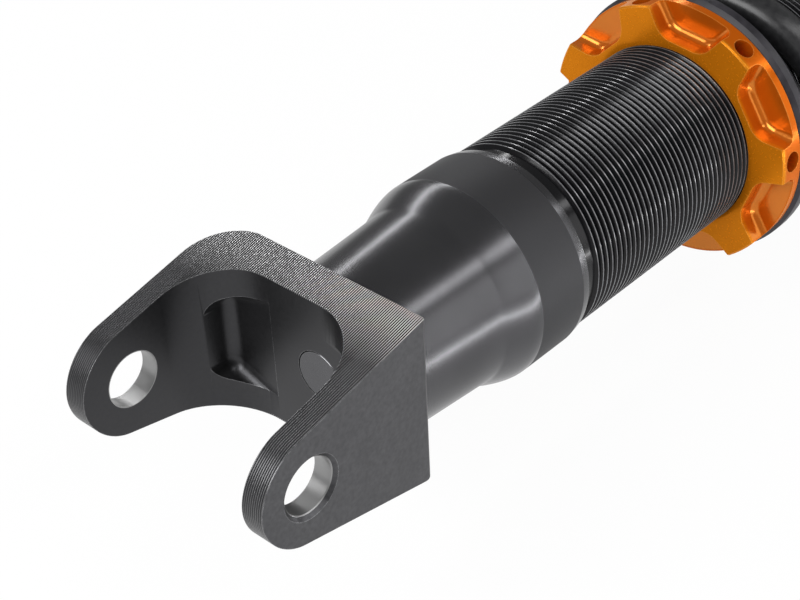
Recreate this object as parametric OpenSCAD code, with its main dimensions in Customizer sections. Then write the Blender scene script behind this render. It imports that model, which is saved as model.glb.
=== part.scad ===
// Coilover: monotube damper with a threaded body, an adjustable lower spring
// seat, an offset clevis fork below and a spherical top mount above.
// +X runs along the damper from the fork to the top mount, Y is the lower
// bolt's axis, +Z is up. The origin is where the damper axis meets that bolt.

/* [Lower fork] */
// Bore through both ears for the lower bolt
bolt_bore_d = 15; // [10:0.5:18]
// Width of the slot between the ears
slot_w = 55; // [50:1:60]
// Thickness of each ear
ear_t = 6.5; // [5:0.5:10]
// Shift of the fork's middle to +Y of the damper axis
fork_offset = 7; // [0:0.5:9]
// Metal round the bolt bore at the ear tips
ear_wall = 8; // [6:0.5:10]
// From the bolt axis to the crossbar's inner face
slot_depth = 30; // [28:1:45]
// Thickness of the crossbar
crossbar_t = 10; // [8:0.5:16]
// Slope of the fork's top and bottom faces, in degrees
face_slope = 12.5; // [10:0.5:16]
// Rounding of the back edges in side view
back_edge_r = 0.8; // [0.5:0.1:3]
// Rounding of the far back corner in plan
far_corner_r = 15; // [8:0.5:16]
// Rounding of the slot's two inner corners in plan
slot_corner_r = 18.5; // [12:0.5:20]
// Ledge left beside each relief pocket
pocket_ledge = 3.1; // [2:0.1:5]
// Height of the relief pockets
pocket_h = 25; // [16:1:30]
// Corner radius of the relief pockets
pocket_corner_r = 4.5; // [2:0.5:6]
// Chamfer on the bolt bore's rims
bore_chamfer = 0.8; // [0.3:0.1:1.2]

/* [Lower cap] */
// Spigot that carries the fork
spigot_d = 14; // [10:0.5:18]
// Chamfer on the spigot's end and its hole
spigot_chamfer = 0.3; // [0.1:0.1:0.5]
// Diameter of the neck at the fork
neck_d = 47.8; // [42:0.2:50]
// Diameter of the neck where the flare starts
neck_top_d = 51.2; // [46:0.2:54]
// Length of the neck
neck_len = 30; // [24:1:36]
// Length of the flare
flare_len = 10.8; // [8:0.2:16]
// Where the flare's two tangents meet, as a share of its length
flare_swell = 0.68; // [0.5:0.02:0.8]
// Wall of the cap's band round the body's end
cap_wall = 3.1; // [2.5:0.1:6]
// Length of the band
band_len = 16.7; // [14:0.1:24]
// Length of the tapered lip
lip_len = 2.9; // [1:0.1:4]
// How far the lip tapers in
lip_drop = 0.5; // [0.2:0.1:0.8]
// Diameter of the gas pocket in the cap
gas_pocket_d = 34; // [24:1:38]
// Depth of the gas pocket below the tube
gas_pocket_depth = 22; // [16:1:26]
// Thread of the gas fill screw
fill_screw_d = 8; // [6:1:9]
// Depth of the gas fill screw's head below the neck
fill_screw_sink = 1.5; // [0.5:0.1:3]
// Hexagon socket of the gas fill screw, across flats
fill_socket_af = 4; // [3:0.5:5]

/* [Threaded body] */
// Bore of the body
bore_d = 46; // [40:0.5:56]
// Wall of the body's end that screws into the cap
tube_spigot_wall = 3; // [2.4:0.1:4]
// Length of that end
tube_spigot_len = 16.4; // [12:0.2:20]
// Wall of the smooth relief between the cap and the thread
relief_wall = 4; // [3.2:0.1:5]
// Length of the relief
relief_len = 4.1; // [2:0.1:6]
// From the bore to the crests of the seat's thread
thread_wall = 5; // [4.4:0.1:7]
// Pitch of the seat's thread
thread_pitch = 2; // [1.5:0.25:3]
// Depth of the seat's thread
thread_depth = 1.2; // [0.8:0.1:1.3]
// Smooth upper end of the body
smooth_len = 38; // [30:1:60]
// Wall of the smooth upper end
smooth_wall = 3.7; // [2.8:0.1:4.2]

/* [Spring seat] */
// From the cap's end to the collar's front face
collar_place = 73.4; // [64:0.2:90]
// Length of the collar
collar_len = 8.6; // [8:0.2:14]
// Flange left behind the collar's pockets
collar_flange = 2.2; // [1.5:0.1:3]
// Number of pockets and of pin holes
collar_pockets = 7; // [6:1:8]
// Angle of the first pin hole from -Y towards +Z
collar_phase = 6.5; // [0:0.5:50]
// Angle that each lobe covers at the rim
lobe_angle = 15.5; // [12:0.5:20]
// Collar left between its thread and the pockets
collar_land = 2.5; // [2:0.1:5]
// Reach of the pockets from there to the rim
pocket_reach = 9.5; // [8:0.5:14]
// Half angle of each pocket's flat inner side
pocket_in_angle = 13; // [9:0.5:14]
// Rounding of each pocket's inner corners
pocket_round = 3; // [1:0.5:3.5]
// Pin hole diameter
pin_hole_d = 6; // [4:0.5:6]
// Pin hole depth
pin_hole_depth = 7; // [4:0.5:8]
// Chamfer at the collar's bore
collar_bore_chamfer = 1.2; // [0.4:0.1:1.5]
// Chamfer at the collar's rim
collar_rim_chamfer = 0.4; // [0.2:0.1:0.8]
// How far the isolators stand proud of the collar's rim
isolator_proud = 1; // [0:0.1:3]
// Thickness of the isolators
isolator_t = 4; // [3:0.2:8]
// Taper on the isolators' outer edge
isolator_taper = 1.2; // [0.4:0.1:1.5]
// Height of the isolators' pilot inside the spring
pilot_h = 5.5; // [3:0.5:10]

/* [Spring] */
// Wire diameter
wire_d = 11; // [9:0.25:12.5]
// Room between the thread's crests and the spring's inside
spring_room = 2; // [1.5:0.25:8]
// Number of turns in all
turns = 6; // [5:0.25:8]
// Gap between the closed end turns
end_turn_gap = 0.6; // [0.5:0.1:1.5]
// Share of the wire's thickness left at its ground tips
tip_share = 0.25; // [0.2:0.05:0.5]
// Angle at which the wire starts, from -Y towards +Z
wire_phase = 72; // [0:1:359]

/* [Rod and piston] */
// Stroke of the damper
stroke = 75; // [50:1:90]
// Bore down the rod for the metering needle
rod_bore_d = 6; // [5:0.2:9]
// Wall of the shank that carries the piston
shank_wall = 2; // [1.6:0.1:2.6]
// Wall of the rod's upper, threaded end
rod_top_wall = 3; // [2.8:0.1:3.6]
// Wall of the rod
rod_wall = 4; // [3.8:0.1:6]
// Step in radius from the rod's bore to the jet
jet_step = 1.5; // [1:0.1:2]
// Length of the jet
jet_len = 6; // [4:0.5:8]
// Cross port in the rod
port_d = 2.5; // [1.5:0.1:3.5]
// Length of the main piston
piston_len = 14; // [12:0.5:20]
// Width of the piston's band
piston_band_w = 8; // [6:0.5:10]
// Thickness of the piston's band
piston_band_t = 2.3; // [1.5:0.1:3]
// Number of oil ports in the piston
piston_ports = 6; // [4:1:8]
// Diameter of the oil ports
piston_port_d = 5; // [3:0.5:6]
// From the shank to the middle of the oil ports
port_land = 8.5; // [7.5:0.5:10]
// How far the largest shim covers past the ports
shim_cover = 2; // [1:0.5:3]
// Thickness of one shim
shim_t = 0.4; // [0.3:0.05:0.6]
// Shims in a stack
shim_count = 4; // [3:1:6]
// Step in radius from one shim to the next
shim_step = 2; // [1:0.5:2]
// Thickness of the plain washers
washer_t = 1.5; // [1:0.1:2.5]
// Piston nut's wall at its flats
piston_nut_wall = 3.5; // [2.5:0.5:5]
// Length of the piston nut
piston_nut_len = 8; // [6:0.5:12]
// Rod end left beyond the piston nut
rod_end_len = 2; // [1:0.5:4]
// Length of the top-out stop
top_out_len = 7.5; // [5:0.5:12]
// Wall of the top-out stop
top_out_wall = 5; // [3:0.5:8]
// Length of the bump stop
bump_stop_len = 15; // [10:1:30]
// Wall of the bump stop
bump_stop_wall = 12; // [6:0.5:15]

/* [Floating piston] */
// Gas space between the body's lower end and the floating piston
gas_len = 44; // [36:1:60]
// Length of the floating piston
floater_len = 18; // [14:1:24]
// Wall of the floating piston
floater_wall = 6; // [5:0.5:7]
// Oil left below the rod at full stroke, with the floating piston at rest
oil_gap = 18.3; // [12:0.1:30]
// Section of the floating piston's seal
floater_seal_d = 3; // [2:0.2:3.6]

/* [Rod guide] */
// Length of the rod guide
guide_len = 21; // [20:0.5:30]
// Lip below the bush
guide_lip = 2; // [1.5:0.5:4]
// Length of the bush
bush_len = 11; // [8:0.5:12]
// Wall of the bush
bush_t = 1.5; // [1:0.1:2]
// Length of the rod seal
seal_len = 4.5; // [3:0.5:5]
// Width of the rod seal and wiper across their section
seal_t = 4; // [3:0.2:5]
// How far the wiper's lip stands above the guide
wiper_lip = 1.6; // [0.8:0.2:2.4]
// Section of the guide's and cap's O-rings
guide_ring_d = 2.8; // [2:0.2:3.2]
// Section of the O-ring in the cap
cap_ring_d = 1.5; // [1.2:0.1:1.8]
// Thickness of the snap ring
snap_ring_t = 1.6; // [1.2:0.1:2]
// Width of the snap ring across its section
snap_ring_w = 3.6; // [3:0.2:4]
// How far the snap ring stands into the body's wall
snap_ring_bite = 1.2; // [0.8:0.1:1.5]
// Body left beyond the snap ring
body_lip = 1.4; // [1:0.1:3]
// Gap in the snap ring and the circlip
ring_gap = 8; // [4:0.5:12]

/* [Top mount] */
// How far the perch stands proud of the spring
perch_proud = 0.25; // [0:0.25:3]
// Thickness of the perch
perch_t = 6; // [5:0.5:10]
// Wall of the perch's hub round the rod
perch_hub_wall = 14; // [8:1:16]
// Height of the perch's hub
perch_hub_h = 7.5; // [6:0.5:12]
// Depth of the rod's shoulder inside the perch
perch_seat = 2; // [1:0.5:3]
// Metal between the rod's top and the bearing ball's surface
ball_wall = 9; // [8:0.5:12]
// Width of the ball
ball_w = 16; // [14:0.5:18]
// Wall of the bearing's race at its middle
race_wall = 2; // [1.5:0.5:4]
// How far each side of the race sits inside the ball's width
race_inset = 2; // [1.5:0.5:3]
// Wall of the ball's spacers
spacer_wall = 4; // [3:0.5:4.5]
// Length of the lower spacer
lower_spacer_len = 8; // [7:0.5:14]
// Length of the upper spacer
upper_spacer_len = 6; // [4:0.5:12]
// Width of the top plate's flange round its boss
flange_w = 31; // [24:1:40]
// Thickness of the top plate
plate_t = 8; // [6:0.5:10]
// Wall of the top plate's boss round the race
boss_wall = 7; // [4:1:10]
// Lip that holds the race in the boss
race_lip = 1; // [0.8:0.1:1.5]
// Thickness of the circlip
circlip_t = 1.2; // [1:0.1:1.4]
// How far the circlip stands into the boss
circlip_bite = 1; // [0.6:0.1:1.4]
// Number of studs
stud_count = 3; // [3:1:4]
// From the plate's rim to the studs' middle
stud_inset = 11; // [8:0.5:14]
// Thread diameter of the studs
stud_d = 8; // [6:1:10]
// How far the studs' pressed-in shanks stand proud of their threads
stud_grip = 0.4; // [0.2:0.1:0.6]
// Length of the studs above the plate
stud_len = 25; // [15:1:40]
// Diameter of the studs' heads
stud_head_d = 12; // [11:0.5:14]
// Height of the studs' heads
stud_head_h = 2.5; // [1.5:0.5:3]
// Top nut's wall at its flats
top_nut_wall = 3.5; // [2.5:0.5:5]
// Height of the top nut
top_nut_h = 7; // [6:0.5:12]
// Width of the top washer
top_washer_w = 5; // [4:0.5:6]
// Rod left above the top nut
rod_stand = 3.5; // [2:0.5:8]
// How far the adjuster knob stands proud of the rod's top
knob_proud = 3; // [2:0.5:6]
// Adjuster knob's length
knob_len = 11; // [8:1:18]
// Number of flutes on the knob
knob_flutes = 12; // [8:1:16]
// Travel of the metering needle
needle_travel = 2; // [1:0.5:2.5]
// Length of the metering needle's point
needle_point = 6; // [5:0.5:9]
// End of the needle's point
needle_end_d = 1; // [0.6:0.1:1.4]

/* [Fits] */
// Radial clearance of parts that stay put
fixed_clear = 0.02; // [0.01:0.01:0.04]
// Radial clearance of parts that slide or turn
running_clear = 0.05; // [0.02:0.01:0.08]
// Clearance of parts that only pass each other
free_clear = 0.3; // [0.2:0.05:0.5]
// Gap at the two ends of the stroke
stop_gap = 0.5; // [0.2:0.1:1]

/* [Hidden] */
$fn = 96;

over = 1; // how far a cut runs past the face that it opens
seam = 0.01; // how far a straight side sinks below the round that it meets

// Diameters, built up from the bores outwards
tube_spigot_d = bore_d + 2 * tube_spigot_wall;
relief_d = bore_d + 2 * relief_wall;
thread_d = bore_d + 2 * thread_wall;
smooth_d = bore_d + 2 * smooth_wall;
cap_d = tube_spigot_d + 2 * cap_wall;
pocket_in_r = thread_d / 2 + collar_land;
collar_d = 2 * (pocket_in_r + pocket_reach);
isolator_d = collar_d + 2 * isolator_proud;
spring_id = thread_d + 2 * spring_room;
shank_d = rod_bore_d + 2 * shank_wall;
rod_top_d = rod_bore_d + 2 * rod_top_wall;
rod_d = rod_bore_d + 2 * rod_wall;
jet_d = rod_bore_d - 2 * jet_step;
piston_port_r = shank_d / 2 + port_land;
shim_r = piston_port_r + piston_port_d / 2 + shim_cover;
piston_nut_af = shank_d + 2 * piston_nut_wall;
top_out_r = rod_d / 2 + top_out_wall;
bump_stop_d = rod_d + 2 * bump_stop_wall;
perch_d = spring_id + 2 * wire_d + 2 * perch_proud;
perch_hub_d = rod_top_d + 2 * perch_hub_wall;
ball_d = rod_top_d + 2 * ball_wall;
race_d = ball_d + 2 * race_wall;
race_w = ball_w - 2 * race_inset;
spacer_d = rod_top_d + 2 * spacer_wall;
boss_d = race_d + 2 * boss_wall;
plate_d = boss_d + 2 * flange_w;
stud_circle_d = plate_d - 2 * stud_inset;
stud_shank_d = stud_d + 2 * stud_grip;
top_nut_af = rod_top_d + 2 * top_nut_wall;
top_washer_d = rod_top_d + 2 * top_washer_w;
knob_d = rod_top_d + 2 * knob_proud;

// Fork
fork_w = slot_w + 2 * ear_t;
ear_tip_r = bolt_bore_d / 2 + ear_wall;
fork_y0 = fork_offset - fork_w / 2;
fork_y1 = fork_offset + fork_w / 2;
slot_y0 = fork_offset - slot_w / 2;
slot_y1 = fork_offset + slot_w / 2;
fork_back = slot_depth + crossbar_t;
bolt_bore_r = bolt_bore_d / 2;
back_edge_x = fork_back - back_edge_r;
back_edge_z = (ear_tip_r - back_edge_r + back_edge_x * sin(face_slope)) / cos(face_slope);
fork_reach_z = back_edge_z + back_edge_r + over;

// Cap and body, along X
flare_x0 = fork_back + neck_len;
band_x0 = flare_x0 + flare_len;
lip_x0 = band_x0 + band_len;
cap_end = lip_x0 + lip_len;
cap_r = cap_d / 2;
cap_floor = cap_end - tube_spigot_len;
gas_pocket_x0 = cap_floor - gas_pocket_depth;
fill_screw_x = gas_pocket_x0 + gas_pocket_depth / 2;
fill_screw_out = neck_top_d / 2 - fill_screw_sink;
fill_screw_in = gas_pocket_d / 2 + over / 2;
cap_ring_x = cap_floor + tube_spigot_len / 2;
bore_r = bore_d / 2;
tube_spigot_r = tube_spigot_d / 2;
thread_x0 = cap_end + relief_len;
thread_r = thread_d / 2;
thread_root_r = thread_r - thread_depth;

// Floating piston, main piston and rod guide, along X
floater_x0 = cap_floor + gas_len;
floater_x1 = floater_x0 + floater_len;
shim_stack = shim_count * shim_t;
rod_end_x = floater_x1 + oil_gap + stroke;
piston_nut_x0 = rod_end_x + rod_end_len;
rebound_x0 = piston_nut_x0 + piston_nut_len;
piston_x0 = rebound_x0 + shim_stack;
piston_x1 = piston_x0 + piston_len;
washer_x0 = piston_x1 + shim_stack;
shoulder_x = washer_x0 + washer_t;
guide_x0 = shoulder_x + top_out_len + stop_gap;
guide_x1 = guide_x0 + guide_len;
bush_x0 = guide_x0 + guide_lip;
seal_x0 = bush_x0 + bush_len;
wiper_x0 = seal_x0 + seal_len;
snap_ring_x1 = guide_x1 + snap_ring_t;
body_end = snap_ring_x1 + body_lip;
thread_x1 = body_end - smooth_len;
guide_ring_x = bush_x0 + bush_len / 2;
port_x = shoulder_x + top_out_len / 2;
rod_r = rod_d / 2;
shank_r = shank_d / 2;
rod_top_r = rod_top_d / 2;

// Spring seat, along X
collar_x0 = cap_end + collar_place;
collar_x1 = collar_x0 + collar_len;
collar_r = collar_d / 2;
collar_floor = collar_x1 - collar_flange;
isolator_gap = 2 * running_clear;
isolator_x0 = collar_x1 + isolator_gap;
spring_x0 = isolator_x0 + isolator_t;
spring_mean_r = (spring_id + wire_d) / 2;
pilot_r = spring_id / 2 - free_clear;
seat_bore_r = thread_r + free_clear;

// Top mount, along X
perch_x0 = body_end + stop_gap + stroke + bump_stop_len;
spring_x1 = perch_x0 - isolator_t;
rod_step_x = perch_x0 + perch_seat;
spacer_x0 = perch_x0 + perch_t + perch_hub_h;
ball_x0 = spacer_x0 + lower_spacer_len;
ball_x = ball_x0 + ball_w / 2;
ball_x1 = ball_x0 + ball_w;
top_washer_x0 = ball_x1 + upper_spacer_len;
top_nut_x0 = top_washer_x0 + washer_t;
top_nut_x1 = top_nut_x0 + top_nut_h;
rod_top_x = top_nut_x1 + rod_stand;
knob_x0 = rod_top_x + stop_gap;
race_x0 = ball_x - race_w / 2;
race_x1 = ball_x + race_w / 2;
race_r = race_d / 2;
boss_x0 = race_x0 - race_lip;
boss_x1 = race_x1 + circlip_t + race_lip;
plate_x0 = ball_x - plate_t / 2;
plate_x1 = ball_x + plate_t / 2;

// Metering needle, along X
rod_bore_r = rod_bore_d / 2;
rod_bore_x0 = rod_end_x + jet_len;
needle_x0 = rod_bore_x0 + stop_gap;
knob_stem_x0 = top_nut_x0;
needle_x1 = knob_stem_x0 - stop_gap;

// A solid of revolution about the damper axis, from [x, radius] points.
module turned(points) {
    rotate([0, 90, 0])
        rotate_extrude()
            polygon([for (p = points) [p[1], p[0]]]);
}

// A plain ring about the damper axis.
module ring(x0, x1, r_in, r_out) {
    turned([[x0, r_in], [x1, r_in], [x1, r_out], [x0, r_out]]);
}

// A plain disc about the damper axis.
module disc(x0, x1, r) {
    turned([[x0, 0], [x1, 0], [x1, r], [x0, r]]);
}

// A round section carried round the damper axis, such as an O-ring.
module hoop(x, r, section_d) {
    translate([x, 0, 0])
        rotate([0, 90, 0])
            rotate_extrude()
                translate([r, 0])
                    circle(d = section_d, $fn = 32);
}

// A hexagonal prism along the damper axis.
module hex_bar(x0, x1, across_flats) {
    translate([x0, 0, 0])
        rotate([0, 90, 0])
            cylinder(h = x1 - x0, d = across_flats / cos(30), $fn = 6);
}

// Turns its children to an angle about the damper axis, from -Y towards +Z.
module at_angle(a) {
    rotate([-a, 0, 0])
        rotate([90, 0, 0])
            children();
}

// Side view of the fork: round tip, sloping faces, rounded back edges.
module fork_side(h) {
    tip = ear_tip_r - seam;
    edge = back_edge_r - seam;
    top = [
        [-tip * sin(face_slope), tip * cos(face_slope)],
        [back_edge_x - edge * sin(face_slope), back_edge_z + edge * cos(face_slope)],
        [fork_back, back_edge_z]
    ];
    cylinder(h = h, r = ear_tip_r);
    for (s = [-1, 1])
        translate([back_edge_x, s * back_edge_z, 0])
            cylinder(h = h, r = back_edge_r);
    linear_extrude(h)
        polygon(concat(top, [for (i = [2 : -1 : 0]) [top[i][0], -top[i][1]]]));
}

// Plan of the fork: one square back corner and one large round one.
module fork_plan() {
    translate([-ear_tip_r - over, fork_y0])
        square([fork_back + ear_tip_r + over, fork_w - far_corner_r]);
    translate([-ear_tip_r - over, fork_y0])
        square([fork_back - far_corner_r + ear_tip_r + over, fork_w]);
    translate([fork_back - far_corner_r, fork_y1 - far_corner_r])
        circle(far_corner_r);
}

// Plan of the slot, with its two rounded inner corners.
module slot_plan() {
    translate([-ear_tip_r - 2 * over, slot_y0])
        square([slot_depth - slot_corner_r + ear_tip_r + 2 * over, slot_w]);
    translate([-ear_tip_r - 2 * over, slot_y0 + slot_corner_r])
        square([slot_depth + ear_tip_r + 2 * over, slot_w - 2 * slot_corner_r]);
    for (y = [slot_y0 + slot_corner_r, slot_y1 - slot_corner_r])
        translate([slot_depth - slot_corner_r, y])
            circle(slot_corner_r);
}

// Relief pockets milled into both inner corners, as one cut across the slot.
module pocket_cut() {
    w = slot_w - 2 * pocket_ledge;
    translate([slot_depth - slot_corner_r - over, fork_offset, 0])
        rotate([90, 0, 90])
            linear_extrude(slot_corner_r + over) {
                square([w, pocket_h - 2 * pocket_corner_r], center = true);
                square([w - 2 * pocket_corner_r, pocket_h], center = true);
                for (y = [-1, 1], z = [-1, 1])
                    translate([
                        y * (w / 2 - pocket_corner_r),
                        z * (pocket_h / 2 - pocket_corner_r)
                    ])
                        circle(pocket_corner_r);
            }
}

// The lower bolt's bore, with a chamfer at each outer face.
module bolt_cut() {
    translate([0, fork_y1 + over, 0])
        rotate([90, 0, 0])
            cylinder(h = fork_w + 2 * over, r = bolt_bore_r);
    for (s = [-1, 1])
        translate([0, s > 0 ? fork_y1 : fork_y0, 0])
            rotate([s * 90, 0, 0])
                cylinder(h = bore_chamfer, r1 = bolt_bore_r + bore_chamfer, r2 = bolt_bore_r);
}

module lower_fork() {
    hole_r = spigot_d / 2 + fixed_clear;
    color("dimgray")
        difference() {
            intersection() {
                translate([0, fork_y1 + over, 0])
                    rotate([90, 0, 0])
                        fork_side(fork_w + 2 * over);
                translate([0, 0, -fork_reach_z])
                    linear_extrude(2 * fork_reach_z)
                        fork_plan();
            }
            translate([0, 0, -fork_reach_z])
                linear_extrude(2 * fork_reach_z)
                    slot_plan();
            pocket_cut();
            bolt_cut();
            turned([
                [slot_depth - over, 0],
                [slot_depth - over, hole_r + spigot_chamfer],
                [slot_depth, hole_r + spigot_chamfer],
                [slot_depth + spigot_chamfer, hole_r],
                [fork_back + over, hole_r],
                [fork_back + over, 0]
            ]);
        }
}

// The cap: neck, flare, band and lip outside, a stepped pocket inside.
module lower_cap() {
    flare_steps = 12;
    neck_r = neck_d / 2;
    flare_r0 = neck_top_d / 2;
    cup_r = tube_spigot_r + fixed_clear;
    color("gray")
        difference() {
            turned(concat(
                [
                    [slot_depth, 0],
                    [slot_depth, spigot_d / 2 - spigot_chamfer],
                    [slot_depth + spigot_chamfer, spigot_d / 2],
                    [fork_back, spigot_d / 2],
                    [fork_back, neck_r]
                ],
                [
                    for (i = [0 : flare_steps]) let (t = i / flare_steps) [
                        flare_x0 + flare_len * (2 * flare_swell * t * (1 - t) + t * t),
                        flare_r0 + (cap_r - flare_r0) * (1 - (1 - t) * (1 - t))
                    ]
                ],
                [
                    [lip_x0, cap_r],
                    [cap_end, cap_r - lip_drop],
                    [cap_end, cup_r],
                    [cap_floor, cup_r],
                    [cap_floor, gas_pocket_d / 2],
                    [gas_pocket_x0, gas_pocket_d / 2],
                    [gas_pocket_x0, 0]
                ]
            ));
            translate([fill_screw_x, 0, -cap_r])
                cylinder(h = cap_r, d = fill_screw_d + 2 * fixed_clear);
        }
}

module gas_fill_screw() {
    color("silver")
        translate([fill_screw_x, 0, -fill_screw_out])
            difference() {
                cylinder(h = fill_screw_out - fill_screw_in, d = fill_screw_d);
                translate([0, 0, -over])
                    cylinder(
                        h = over + (fill_screw_out - fill_screw_in) / 2,
                        d = fill_socket_af / cos(30),
                        $fn = 6
                    );
            }
}

module body_o_ring() {
    color("black")
        hoop(cap_ring_x, tube_spigot_r - cap_ring_d / 2 - fixed_clear, cap_ring_d);
}

// One tooth of the seat's thread, starting at x.
function thread_tooth(x) = [
    [x, thread_root_r],
    [x + thread_pitch / 4, thread_root_r],
    [x + thread_pitch * 9 / 16, thread_r],
    [x + thread_pitch * 11 / 16, thread_r]
];

// The body tube: cap end, relief, seat thread, smooth end, snap ring groove.
module threaded_body() {
    tooth_count = floor((thread_x1 - thread_x0) / thread_pitch);
    groove_w = cap_ring_d + 2 * fixed_clear;
    groove_r = tube_spigot_r - cap_ring_d - 2 * fixed_clear;
    snap_r = bore_r + snap_ring_bite + fixed_clear;
    color("darkslategray")
        turned(concat(
            [
                [cap_floor, bore_r],
                [cap_floor, tube_spigot_r],
                [cap_ring_x - groove_w / 2, tube_spigot_r],
                [cap_ring_x - groove_w / 2, groove_r],
                [cap_ring_x + groove_w / 2, groove_r],
                [cap_ring_x + groove_w / 2, tube_spigot_r],
                [cap_end, tube_spigot_r],
                [cap_end, relief_d / 2],
                [thread_x0, relief_d / 2]
            ],
            [for (i = [0 : tooth_count - 1]) each thread_tooth(thread_x0 + i * thread_pitch)],
            [
                [thread_x0 + tooth_count * thread_pitch, smooth_d / 2],
                [body_end, smooth_d / 2],
                [body_end, bore_r],
                [snap_ring_x1, bore_r],
                [snap_ring_x1, snap_r],
                [guide_x1, snap_r],
                [guide_x1, bore_r]
            ]
        ));
}

// Cup-shaped piston between gas and oil, with a seal groove.
module floating_piston() {
    r = bore_r - running_clear;
    seal_x = (floater_x0 + floater_x1) / 2;
    groove_w = floater_seal_d + 2 * fixed_clear;
    groove_r = r - floater_seal_d - fixed_clear;
    color("lightsteelblue")
        turned([
            [floater_x0, r - floater_wall],
            [floater_x0, r],
            [seal_x - groove_w / 2, r],
            [seal_x - groove_w / 2, groove_r],
            [seal_x + groove_w / 2, groove_r],
            [seal_x + groove_w / 2, r],
            [floater_x1, r],
            [floater_x1, 0],
            [floater_x1 - floater_wall, 0],
            [floater_x1 - floater_wall, r - floater_wall]
        ]);
}

module floating_piston_seal() {
    color("black")
        hoop(
            (floater_x0 + floater_x1) / 2,
            bore_r - running_clear - floater_seal_d / 2,
            floater_seal_d
        );
}

// Hollow rod: jet, shank, shoulder, sliding part, threaded top.
module piston_rod() {
    color("silver")
        difference() {
            turned([
                [rod_end_x, jet_d / 2],
                [rod_end_x, shank_r],
                [shoulder_x, shank_r],
                [shoulder_x, rod_r],
                [rod_step_x, rod_r],
                [rod_step_x, rod_top_r],
                [rod_top_x, rod_top_r],
                [rod_top_x, rod_bore_r],
                [rod_bore_x0, rod_bore_r],
                [rod_bore_x0, jet_d / 2]
            ]);
            translate([port_x, 0, 0])
                cylinder(h = 2 * rod_d, d = port_d, center = true);
        }
}

module piston_nut() {
    color("dimgray")
        difference() {
            hex_bar(piston_nut_x0, rebound_x0, piston_nut_af);
            disc(piston_nut_x0 - over, rebound_x0 + over, shank_r + fixed_clear);
        }
}

// A stack of shims whose radius falls away from the piston's face at x.
module shim_stack_at(x, away) {
    for (i = [0 : shim_count - 1]) {
        near = x + away * i * shim_t;
        far = near + away * shim_t;
        ring(min(near, far), max(near, far), shank_r + fixed_clear, shim_r - i * shim_step);
    }
}

module rebound_shims() {
    color("gainsboro")
        shim_stack_at(piston_x0, -1);
}

module compression_shims() {
    color("gainsboro")
        shim_stack_at(piston_x1, 1);
}

module main_piston() {
    r = bore_r - free_clear;
    band_r = bore_r - running_clear - piston_band_t - fixed_clear;
    band_half = piston_band_w / 2 + fixed_clear;
    middle = (piston_x0 + piston_x1) / 2;
    color("lightsteelblue")
        difference() {
            turned([
                [piston_x0, shank_r + fixed_clear],
                [piston_x0, r],
                [middle - band_half, r],
                [middle - band_half, band_r],
                [middle + band_half, band_r],
                [middle + band_half, r],
                [piston_x1, r],
                [piston_x1, shank_r + fixed_clear]
            ]);
            for (i = [0 : piston_ports - 1])
                at_angle(i * 360 / piston_ports)
                    translate([piston_x0 - over, 0, piston_port_r])
                        rotate([0, 90, 0])
                            cylinder(h = piston_len + 2 * over, d = piston_port_d);
        }
}

module piston_band() {
    middle = (piston_x0 + piston_x1) / 2;
    r = bore_r - running_clear;
    color("peru")
        ring(middle - piston_band_w / 2, middle + piston_band_w / 2, r - piston_band_t, r);
}

module piston_washer() {
    color("gainsboro")
        ring(washer_x0, shoulder_x, shank_r + fixed_clear, top_out_r);
}

module top_out_stop() {
    color("khaki")
        difference() {
            ring(shoulder_x, shoulder_x + top_out_len, rod_r + fixed_clear, top_out_r);
            translate([port_x, 0, 0])
                cylinder(h = 3 * top_out_r, d = port_d, center = true);
        }
}

module rod_guide() {
    r = bore_r - fixed_clear;
    seal_r = rod_r + running_clear + seal_t + fixed_clear;
    bush_r = rod_r + running_clear + bush_t + fixed_clear;
    groove_w = guide_ring_d + 2 * fixed_clear;
    groove_r = r - guide_ring_d - fixed_clear;
    color("lightsteelblue")
        turned([
            [guide_x0, rod_r + free_clear],
            [guide_x0, r],
            [guide_ring_x - groove_w / 2, r],
            [guide_ring_x - groove_w / 2, groove_r],
            [guide_ring_x + groove_w / 2, groove_r],
            [guide_ring_x + groove_w / 2, r],
            [guide_x1, r],
            [guide_x1, seal_r],
            [seal_x0, seal_r],
            [seal_x0, bush_r],
            [bush_x0, bush_r],
            [bush_x0, rod_r + free_clear]
        ]);
}

module guide_bush() {
    color("peru")
        ring(bush_x0, seal_x0, rod_r + running_clear, rod_r + running_clear + bush_t);
}

// U-shaped seal, open towards the oil.
module rod_seal() {
    r_in = rod_r + running_clear;
    color("black")
        turned([
            [seal_x0, r_in],
            [wiper_x0, r_in],
            [wiper_x0, r_in + seal_t],
            [seal_x0, r_in + seal_t],
            [seal_x0, r_in + seal_t * 2 / 3],
            [seal_x0 + seal_len / 2, r_in + seal_t / 2],
            [seal_x0, r_in + seal_t / 3]
        ]);
}

module rod_wiper() {
    r_in = rod_r + running_clear;
    color("black")
        turned([
            [wiper_x0, r_in],
            [guide_x1 + wiper_lip, r_in],
            [guide_x1 + wiper_lip, r_in + seal_t / 4],
            [guide_x1, r_in + seal_t / 2],
            [guide_x1, r_in + seal_t],
            [wiper_x0, r_in + seal_t]
        ]);
}

module guide_o_ring() {
    color("black")
        hoop(guide_ring_x, bore_r - fixed_clear - guide_ring_d / 2, guide_ring_d);
}

module guide_snap_ring() {
    r = bore_r + snap_ring_bite;
    color("silver")
        difference() {
            ring(guide_x1, snap_ring_x1, r - snap_ring_w, r);
            translate([guide_x1 - over, -ring_gap / 2, 0])
                cube([snap_ring_t + 2 * over, ring_gap, bore_d]);
        }
}

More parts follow.
